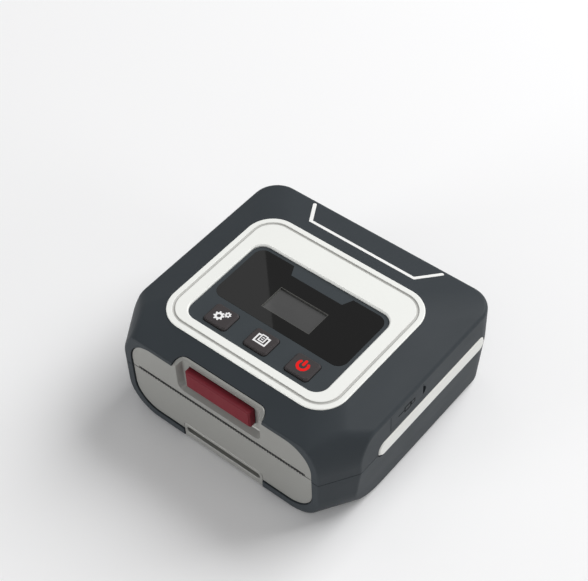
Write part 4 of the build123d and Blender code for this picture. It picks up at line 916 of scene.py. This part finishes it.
@dataclass
class FrontFace:
    """Gray front panels, tear bar, lower trim and red release button.

    All sizes are in millimetres, apart from the comb's share.

    Attributes:
        guide_behind: how far the label guide stands behind the tear bar's face.
        guide_thickness: thickness of the label guide.
        guide_height: height of the label guide.
        guide_drop: how far the label guide hangs under the tear bar.
        end_room: room at the ends of the comb and the label guide.
        comb_pitch: distance between the comb's teeth.
        comb_share: width of a tooth as a share of the pitch.
        comb_length: length of a tooth.
        comb_band: height of the comb's band.
        comb_tip: half width of a tooth's tip.
        comb_thickness: thickness of the comb.
        comb_clear: how far the comb stands before the tear bar's face.
    """

    guide_behind: float = 0.63
    guide_thickness: float = 0.25
    guide_height: float = 1.15
    guide_drop: float = 0.55
    end_room: float = 0.2
    comb_pitch: float = 1.35
    comb_share: float = 0.5
    comb_length: float = 1.5
    comb_band: float = 0.06
    comb_tip: float = 0.22
    comb_thickness: float = 0.12
    comb_clear: float = 0.06

    def comb(self) -> RaisedSymbol:
        """Painted shade: dark saw-toothed comb before the face of the tear bar,
        standing for the shadowed gaps between its teeth.

        Returns:
            The comb, not yet built.
        """
        low, high = (Vector(corner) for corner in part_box("tear_bar"))
        half = (high.x - low.x) / 2 / MM - self.end_room
        top = (high.z - low.z) / 2 / MM
        root = top - self.comb_band
        count = int(2 * half / self.comb_pitch)
        start = -count * self.comb_pitch / 2
        outline = [(half, root), (half, top), (-half, top), (-half, root)]
        for tooth in range(count):
            left = start + (tooth + (1 - self.comb_share) / 2) * self.comb_pitch
            right = left + self.comb_share * self.comb_pitch
            middle, end = (left + right) / 2, root - self.comb_length
            outline += [(left, root), (middle - self.comb_tip, end)]
            outline += [(middle + self.comb_tip, end), (right, root)]
        return RaisedSymbol(
            "tear_comb_painted_shade",
            "cover",
            "dark_steel",
            TEAR_GAP_PAINTED_SHADE,
            [outline],
            height=self.comb_thickness,
            face=Face.FRONT,
        )

    def label_guide(self) -> bpy.types.Object:
        """Pale guide strip behind the teeth of the tear bar.

        Returns:
            The finished piece.
        """
        low, high = (Vector(corner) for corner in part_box("tear_bar"))
        front = low.y + self.guide_behind * MM
        width = high.x - low.x - 2 * self.end_room * MM
        size = Vector((width, self.guide_thickness * MM, self.guide_height * MM))
        lift = size.z / 2 - self.guide_drop * MM
        centre = Vector(((low.x + high.x) / 2, front + size.y / 2, low.z + lift))
        builder = bmesh.new()
        bmesh.ops.create_cube(builder, size=1)
        mesh = meshed("label_guide", builder)
        mesh.transform(Matrix.Translation(centre) @ Matrix.Diagonal((*size, 1)))
        mesh.materials.append(surface(FRONT))
        piece = placed("label_guide", mesh)
        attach(piece, "cover")
        LOG.info("label_guide rides on cover")
        return piece

    def build(self) -> None:
        """Dress the front of the machine."""
        dress(("upper_front_panel", "lower_front_panel", "lower_trim"), FRONT)
        dress(("tear_bar",), FRONT)
        self.label_guide()
        # Painted shade of the gaps between the tear bar's teeth.
        forward = Vector((0, self.comb_clear * MM, 0))
        self.comb().build(outer_middle("tear_bar", Face.FRONT) - forward)
        dress(("trim_liner",), INNER)
        dress(("release_button",), RED)


@dataclass
class GroovePaintedShade:
    """Painted shade: gray strip along the bottom of the frame's groove, standing for
    the shade that falls in it.

    Attributes:
        corner: radius of the frame's outer corners in millimetres.
        section: points of the cross-section, as inset from the frame's edge and height
            over its top, in millimetres.
        steps: steps round each corner.
        quarters: side of the frame's middle that each corner lies on, in order.
    """

    corner: float = 13.0
    section: tuple[Point, ...] = (
        (2.42, -0.14),
        (2.78, -0.50),
        (3.22, -0.50),
        (3.58, -0.14),
        (3.55, -0.17),
        (3.20, -0.53),
        (2.80, -0.53),
        (2.45, -0.17),
    )
    steps: int = 14
    quarters: tuple[tuple[int, int], ...] = ((1, 1), (-1, 1), (-1, -1), (1, -1))

    def loop(self, half: Point, inset: float) -> list[Point]:
        """Rounded rectangle at an inset from the frame's edge.

        Args:
            half: half sizes of the frame.
            inset: distance inside its edge.

        Returns:
            The points in order.
        """
        points: list[Point] = []
        radius = self.corner - inset
        reach_x, reach_y = (side - self.corner for side in half)
        for quarter, (sign_x, sign_y) in enumerate(self.quarters):
            middle = (sign_x * reach_x, sign_y * reach_y)
            start = 90 * quarter
            points += Outline.arc(middle, radius, start, start + 90, self.steps)
        return points

    def build(self) -> bpy.types.Object:
        """Sweep the cross-section round the frame.

        Returns:
            The finished piece.
        """
        low, high = (Vector(corner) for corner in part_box("top_frame"))
        half = ((high.x - low.x) / 2 / MM, (high.y - low.y) / 2 / MM)
        middle = (low + high) / 2
        builder = bmesh.new()
        rings = [
            [
                builder.verts.new(
                    (middle.x + x * MM, middle.y + y * MM, high.z + rise * MM)
                )
                for x, y in self.loop(half, inset)
            ]
            for inset, rise in self.section
        ]
        for ring, following in zip(rings, rings[1:] + rings[:1]):
            for index, vertex in enumerate(ring):
                after = (index + 1) % len(ring)
                corners = (vertex, ring[after], following[after], following[index])
                builder.faces.new(corners)
        bmesh.ops.recalc_face_normals(builder, faces=builder.faces)
        mesh = meshed("frame_groove_painted_shade", builder)
        mesh.materials.append(surface(GROOVE_PAINTED_SHADE))
        piece = placed("frame_groove_painted_shade", mesh)
        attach(piece, "cover")
        LOG.info("frame_groove_painted_shade rides on cover")
        return piece


@dataclass(frozen=True)
class Cog:
    """Toothed wheel with a round hole, drawn flat.

    Attributes:
        centre: its middle in millimetres.
        radius: radius over its teeth in millimetres.
        hole: radius of its hole in millimetres.
        teeth: number of teeth.
        turn: angle of its first tooth in degrees.
    """

    centre: Point
    radius: float
    hole: float
    teeth: int
    turn: float

    def outlines(self) -> list[list[Point]]:
        """Outline of the wheel and of its hole.

        Returns:
            The two closed outlines.
        """
        wheel = Outline.cog(self.centre, self.radius, self.teeth, self.turn)
        return [wheel, Outline.hole(self.centre, self.hole)]


@dataclass(frozen=True)
class Tray:
    """Open tray with a sheet standing in it, drawn flat in millimetres.

    Attributes:
        half: half of the tray's width.
        low: lower edge of the tray.
        high: upper ends of its arms.
        stroke: width of its line.
        sheet: corners of the sheet and of its blank inside.
        row_half: half the length of a row on the sheet.
        row_heights: heights of the rows.
        row_width: width of a row's line.
    """

    half: float = 3.1
    low: float = -1.95
    high: float = 2.55
    stroke: float = 0.72
    sheet: tuple[tuple[Point, Point], ...] = (
        ((-1.55, -0.75), (1.55, 3.0)),
        ((-1.0, -0.2), (1.0, 2.45)),
    )
    row_half: float = 0.45
    row_heights: tuple[float, ...] = (0.6, 1.6)
    row_width: float = 0.42

    def bracket(self) -> list[Point]:
        """Open bracket that stands for the tray.

        Returns:
            The closed outline.
        """
        half, low, high, stroke = self.half, self.low, self.high, self.stroke
        inner, lip = half - stroke, half - 2 * stroke
        left = [(-lip, high), (-half, high), (-half, low)]
        right = [(half, low), (half, high), (lip, high), (lip, high - stroke)]
        inside = [(inner, high - stroke), (inner, low + stroke), (-inner, low + stroke)]
        return left + right + inside + [(-inner, high - stroke), (-lip, high - stroke)]

    def outlines(self) -> list[list[Point]]:
        """Outlines of the tray, the sheet and the rows on it.

        Returns:
            The closed outlines.
        """
        half, width = self.row_half, self.row_width
        sheet = [Outline.box(*corners) for corners in self.sheet]
        rows = [Outline.bar((-half, y), (half, y), width) for y in self.row_heights]
        return [self.bracket(), *sheet, *rows]


@dataclass(frozen=True)
class PowerSign:
    """Open ring with a bar through its gap, drawn flat.

    Attributes:
        centre: middle of the ring in millimetres.
        radius: radius of its centre line in millimetres.
        stroke: width of the ring and the bar in millimetres.
        start: angle at which the ring starts, in degrees.
        end: angle at which it ends, in degrees.
        bar: ends of the bar in millimetres.
    """

    centre: Point = (0, 0.25)
    radius: float = 2.25
    stroke: float = 1.25
    start: float = 147
    end: float = 393
    bar: tuple[Point, Point] = ((0, 0.6), (0, 2.6))

    def outlines(self) -> list[list[Point]]:
        """Outline of the ring and of the bar.

        Returns:
            The two closed outlines.
        """
        ring = Outline.ring_stroke(
            self.centre, self.radius, self.stroke, self.start, self.end
        )
        return [ring, Outline.bar(*self.bar, self.stroke)]


@dataclass
class ControlPanel:
    """Pale frame, slate panel, black lens, display and three keys.

    Attributes:
        groove: painted shade along the frame's groove.
        large_cog: larger wheel on the settings key.
        small_cog: smaller wheel on the settings key.
        tray: tray and sheet on the feed key.
        power: sign on the power key.
    """

    groove: GroovePaintedShade = field(default_factory=GroovePaintedShade)
    large_cog: Cog = Cog((-0.75, -0.55), radius=2.35, hole=0.85, teeth=8, turn=20)
    small_cog: Cog = Cog((1.95, 1.9), radius=1.5, hole=0.5, teeth=7, turn=8)
    tray: Tray = Tray()
    power: PowerSign = PowerSign()

    def symbols(self) -> tuple[RaisedSymbol, ...]:
        """Symbols on the three keys.

        Returns:
            The symbols, not yet built.
        """
        cogs = self.large_cog.outlines() + self.small_cog.outlines()
        sheet, sign = self.tray.outlines(), self.power.outlines()
        return (
            RaisedSymbol("settings_symbol", "key_settings", "pale_frame", SYMBOL, cogs),
            RaisedSymbol("feed_symbol", "key_feed", "pale_frame", SYMBOL, sheet),
            RaisedSymbol("power_symbol", "key_power", "red", POWER, sign),
        )

    def build(self) -> None:
        """Dress the panel and lay the symbols on the keys."""
        dress(("top_frame",), PALE)
        # Painted shade along the frame's groove.
        self.groove.build()
        dress(("control_panel",), SLATE)
        dress(("black_lens",), LENS)
        dress(("display_glass",), DISPLAY)
        dress(("display_bezel",), DISPLAY_RIM)
        dress(("key_settings", "key_feed", "key_power"), KEY)
        for symbol in self.symbols():
            symbol.build(outer_middle(symbol.body, Face.TOP))


@dataclass
class Works:
    """Everything inside: print unit, roll bay, boards, battery and latch.

    Attributes:
        steel: nodes of plated steel.
        white: gears, racks, guides and bushings.
    """

    steel: tuple[str, ...] = (
        "platen_shaft",
        "platen_frame",
        "gear_plate",
        "left_plate",
        "head_pivot",
        "head_bracket",
        "head_springs",
        "lid_springs",
        "latch_springs",
        "hinge_pins",
        "motor",
        "motor_shaft",
        "base_screws",
        "cover_screws",
        "charging_port",
    )
    white: tuple[str, ...] = (
        "guide_left",
        "guide_right",
        "rack_left",
        "rack_right",
        "guide_gear",
        "platen_gear",
        "idler_gear",
        "platen_bushings",
    )

    def build(self) -> None:
        """Dress the inner nodes."""
        dress(("roll_tub", "cover_liner", "latch_slide", "display_module"), INNER)
        dress(self.white, WHITE)
        dress(("platen_rubber",), RUBBER)
        dress(self.steel, STEEL)
        dress(("head_heat_sink",), ALUMINIUM)
        dress(("thermal_head",), CERAMIC)
        dress(("motor_pinion",), BRASS)
        dress(("battery_pack",), CELL)
        dress(("board_chips", "gap_sensor", "key_switches"), CHIP)
        dress(("main_board", "display_board", "driver_board"), BOARD)


@dataclass(frozen=True)
class Softbox:
    """Rectangular area lamp.

    Attributes:
        name: name of the lamp.
        place: its middle in metres.
        target: point it faces.
        width: first side in metres.
        length: second side in metres.
        radiance: brightness of its face, where 1 is white.
        turn: rotation about its own axis in degrees.
    """

    name: str
    place: tuple[float, float, float]
    target: tuple[float, float, float]
    width: float
    length: float
    radiance: float
    turn: float = 0.0

    def build(self) -> bpy.types.Object:
        """Hang the lamp.

        Returns:
            The lamp object.
        """
        lamp = bpy.data.lights.new(self.name, "AREA")
        lamp.shape = "RECTANGLE"
        lamp.size = self.width
        lamp.size_y = self.length
        lamp.energy = self.radiance * math.pi * self.width * self.length
        holder = placed(self.name, lamp)
        holder.visible_camera = False
        place = Vector(self.place)
        facing = (Vector(self.target) - place).to_track_quat("-Z", "Y")
        turn = Matrix.Rotation(math.radians(self.turn), 4, "Z")
        aim = facing.to_matrix().to_4x4()
        holder.matrix_world = Matrix.Translation(place) @ aim @ turn
        LOG.info("lamp %s", self.name)
        return holder


LAMPS = (
    Softbox(
        "key",
        place=(0.571, 1.759, 1.607),
        target=(0, 0, 0.02),
        width=1.8,
        length=1.8,
        radiance=5.8,
    ),
    Softbox(
        "side",
        place=(1.92, 0.27, 0.50),
        target=(0, 0, 0.02),
        width=0.8,
        length=0.8,
        radiance=2.6,
    ),
    Softbox(
        "front",
        place=(-0.92, -1.75, 0.20),
        target=(0, 0, 0.02),
        width=0.8,
        length=0.3,
        radiance=24.0,
    ),
    Softbox(
        "crest",
        place=(0.49, -0.56, 1.06),
        target=(0, 0, 0.04),
        width=0.35,
        length=0.35,
        radiance=3.2,
    ),
    Softbox(
        "sheen",
        place=(-0.867, 0.554, 1.2),
        target=(-0.867, 0.554, 0),
        width=0.5,
        length=1.2,
        radiance=0.4,
        turn=44.1,
    ),
)


@dataclass
class Studio:
    """Pale floor, soft light and the camera.

    Attributes:
        camera_place: camera position in metres.
        azimuth: where the camera stands, degrees round the machine from its front.
        elevation: degrees above the horizon.
        roll: lean of the camera in degrees.
        lens: focal length in millimetres.
        sensor: sensor width in millimetres.
        clip_start: nearest distance that the camera sees, in metres.
        world_level: light of the surroundings.
        floor_colour: linear colour of the floor.
        floor_drift: waves per metre and octaves of the floor's wander in tone.
        floor_darker: darkest tone of the floor as a share of its colour.
        floor_roughness: roughness of the floor.
        floor_size: side of the floor in metres.
        fade_start: distance at which the floor starts to run out into the background.
        fade_end: distance at which it has run out.
        background_level: brightness of the background.
        lamps: lamps round the machine.
    """

    camera_place: tuple[float, float, float] = (0.24845, -0.28849, 0.48713)
    azimuth: float = 41.172
    elevation: float = 48.367
    roll: float = -2.702
    lens: float = 87.59
    sensor: float = 36.0
    clip_start: float = 0.01
    world_level: float = 0.27
    floor_colour: Colour = (0.945, 0.945, 0.95)
    floor_drift: tuple[float, float] = (0.8, 2)
    floor_darker: float = 0.995
    floor_roughness: float = 0.9
    floor_size: float = 6.0
    fade_start: float = 0.6
    fade_end: float = 1.8
    background_level: float = 0.90
    lamps: tuple[Softbox, ...] = LAMPS

    def camera(self) -> bpy.types.Object:
        """Set up the camera at the photograph's angle.

        Returns:
            The camera object.
        """
        data = bpy.data.cameras.new("camera")
        data.sensor_width = self.sensor
        data.lens = self.lens
        data.clip_start = self.clip_start
        holder = placed("camera", data)
        azimuth, elevation = math.radians(self.azimuth), math.radians(self.elevation)
        level = math.cos(elevation)
        back = Vector(
            (
                math.sin(azimuth) * level,
                -math.cos(azimuth) * level,
                math.sin(elevation),
            )
        )
        right = Vector((math.cos(azimuth), math.sin(azimuth), 0))
        basis = Matrix((right, back.cross(right), back)).transposed().to_4x4()
        lean = Matrix.Rotation(math.radians(self.roll), 4, "Z")
        holder.matrix_world = Matrix.Translation(self.camera_place) @ basis @ lean
        bpy.context.scene.camera = holder
        return holder

    def floor(self) -> bpy.types.Object:
        """Lay the floor, which keeps the machine's shadow.

        Returns:
            The floor object.
        """
        builder = bmesh.new()
        half = self.floor_size / 2
        bmesh.ops.create_grid(builder, x_segments=2, y_segments=2, size=half)
        mesh = meshed("floor", builder)
        bench = NodeBench("floor_pale")
        tone = bench.blend(
            bench.span(bench.noise(*self.floor_drift), 0, 1),
            tuple(c * self.floor_darker for c in self.floor_colour),
            self.floor_colour,
        )
        bench.link(tone, bench.shader.inputs["Base Color"])
        bench.shader.inputs["Roughness"].default_value = self.floor_roughness
        bench.shader.inputs["Specular IOR Level"].default_value = 0.0
        self.fade(bench)
        mesh.materials.append(bench.material)
        piece = placed("floor", mesh)
        return piece

    def fade(self, bench: NodeBench) -> None:
        """Let the far floor run out into the pale background.

        Args:
            bench: node helper of the floor's material.
        """
        reach = bench.add("ShaderNodeVectorMath", operation="LENGTH")
        bench.link(bench.place(), reach.inputs[0])
        far = bench.add("ShaderNodeMapRange", interpolation_type="SMOOTHSTEP")
        far.inputs["From Min"].default_value = self.fade_start
        far.inputs["From Max"].default_value = self.fade_end
        bench.link(reach.outputs["Value"], far.inputs["Value"])
        path = bench.add("ShaderNodeLightPath")
        share = bench.add("ShaderNodeMath", operation="MULTIPLY")
        bench.link(far.outputs["Result"], share.inputs[0])
        bench.link(path.outputs["Is Camera Ray"], share.inputs[1])
        glow = bench.add("ShaderNodeEmission")
        glow.inputs["Strength"].default_value = self.background_level
        mix = bench.add("ShaderNodeMixShader")
        bench.link(share.outputs["Value"], mix.inputs["Fac"])
        bench.link(bench.shader.outputs["BSDF"], mix.inputs[1])
        bench.link(glow.outputs["Emission"], mix.inputs[2])
        output = bench.tree.nodes["Material Output"]
        bench.link(mix.outputs["Shader"], output.inputs["Surface"])

    def surroundings(self) -> None:
        """Even light from all round, and a pale background behind everything."""
        world = bpy.data.worlds.new("studio")
        bpy.context.scene.world = world
        world.use_nodes = True
        nodes, links = world.node_tree.nodes, world.node_tree.links
        background = nodes["Background"]
        background.inputs["Color"].default_value = (1, 1, 1, 1)
        path = nodes.new("ShaderNodeLightPath")
        level = nodes.new("ShaderNodeMapRange")
        level.inputs["To Min"].default_value = self.world_level
        level.inputs["To Max"].default_value = self.background_level
        links.new(path.outputs["Is Camera Ray"], level.inputs["Value"])
        links.new(level.outputs["Result"], background.inputs["Strength"])

    def build(self) -> None:
        """Set up floor, light and camera."""
        self.floor()
        self.surroundings()
        for lamp in self.lamps:
            lamp.build()
        self.camera()
        bpy.context.scene.view_settings.view_transform = "Standard"


def main() -> None:
    """Build every sub-assembly in order."""
    logging.basicConfig(level=logging.INFO, format="%(name)s: %(message)s")
    for part in (CaseShells(), FrontFace(), ControlPanel(), Works(), Studio()):
        part.build()
        LOG.info("%s done", type(part).__name__)


if __name__ == "__main__":
    main()
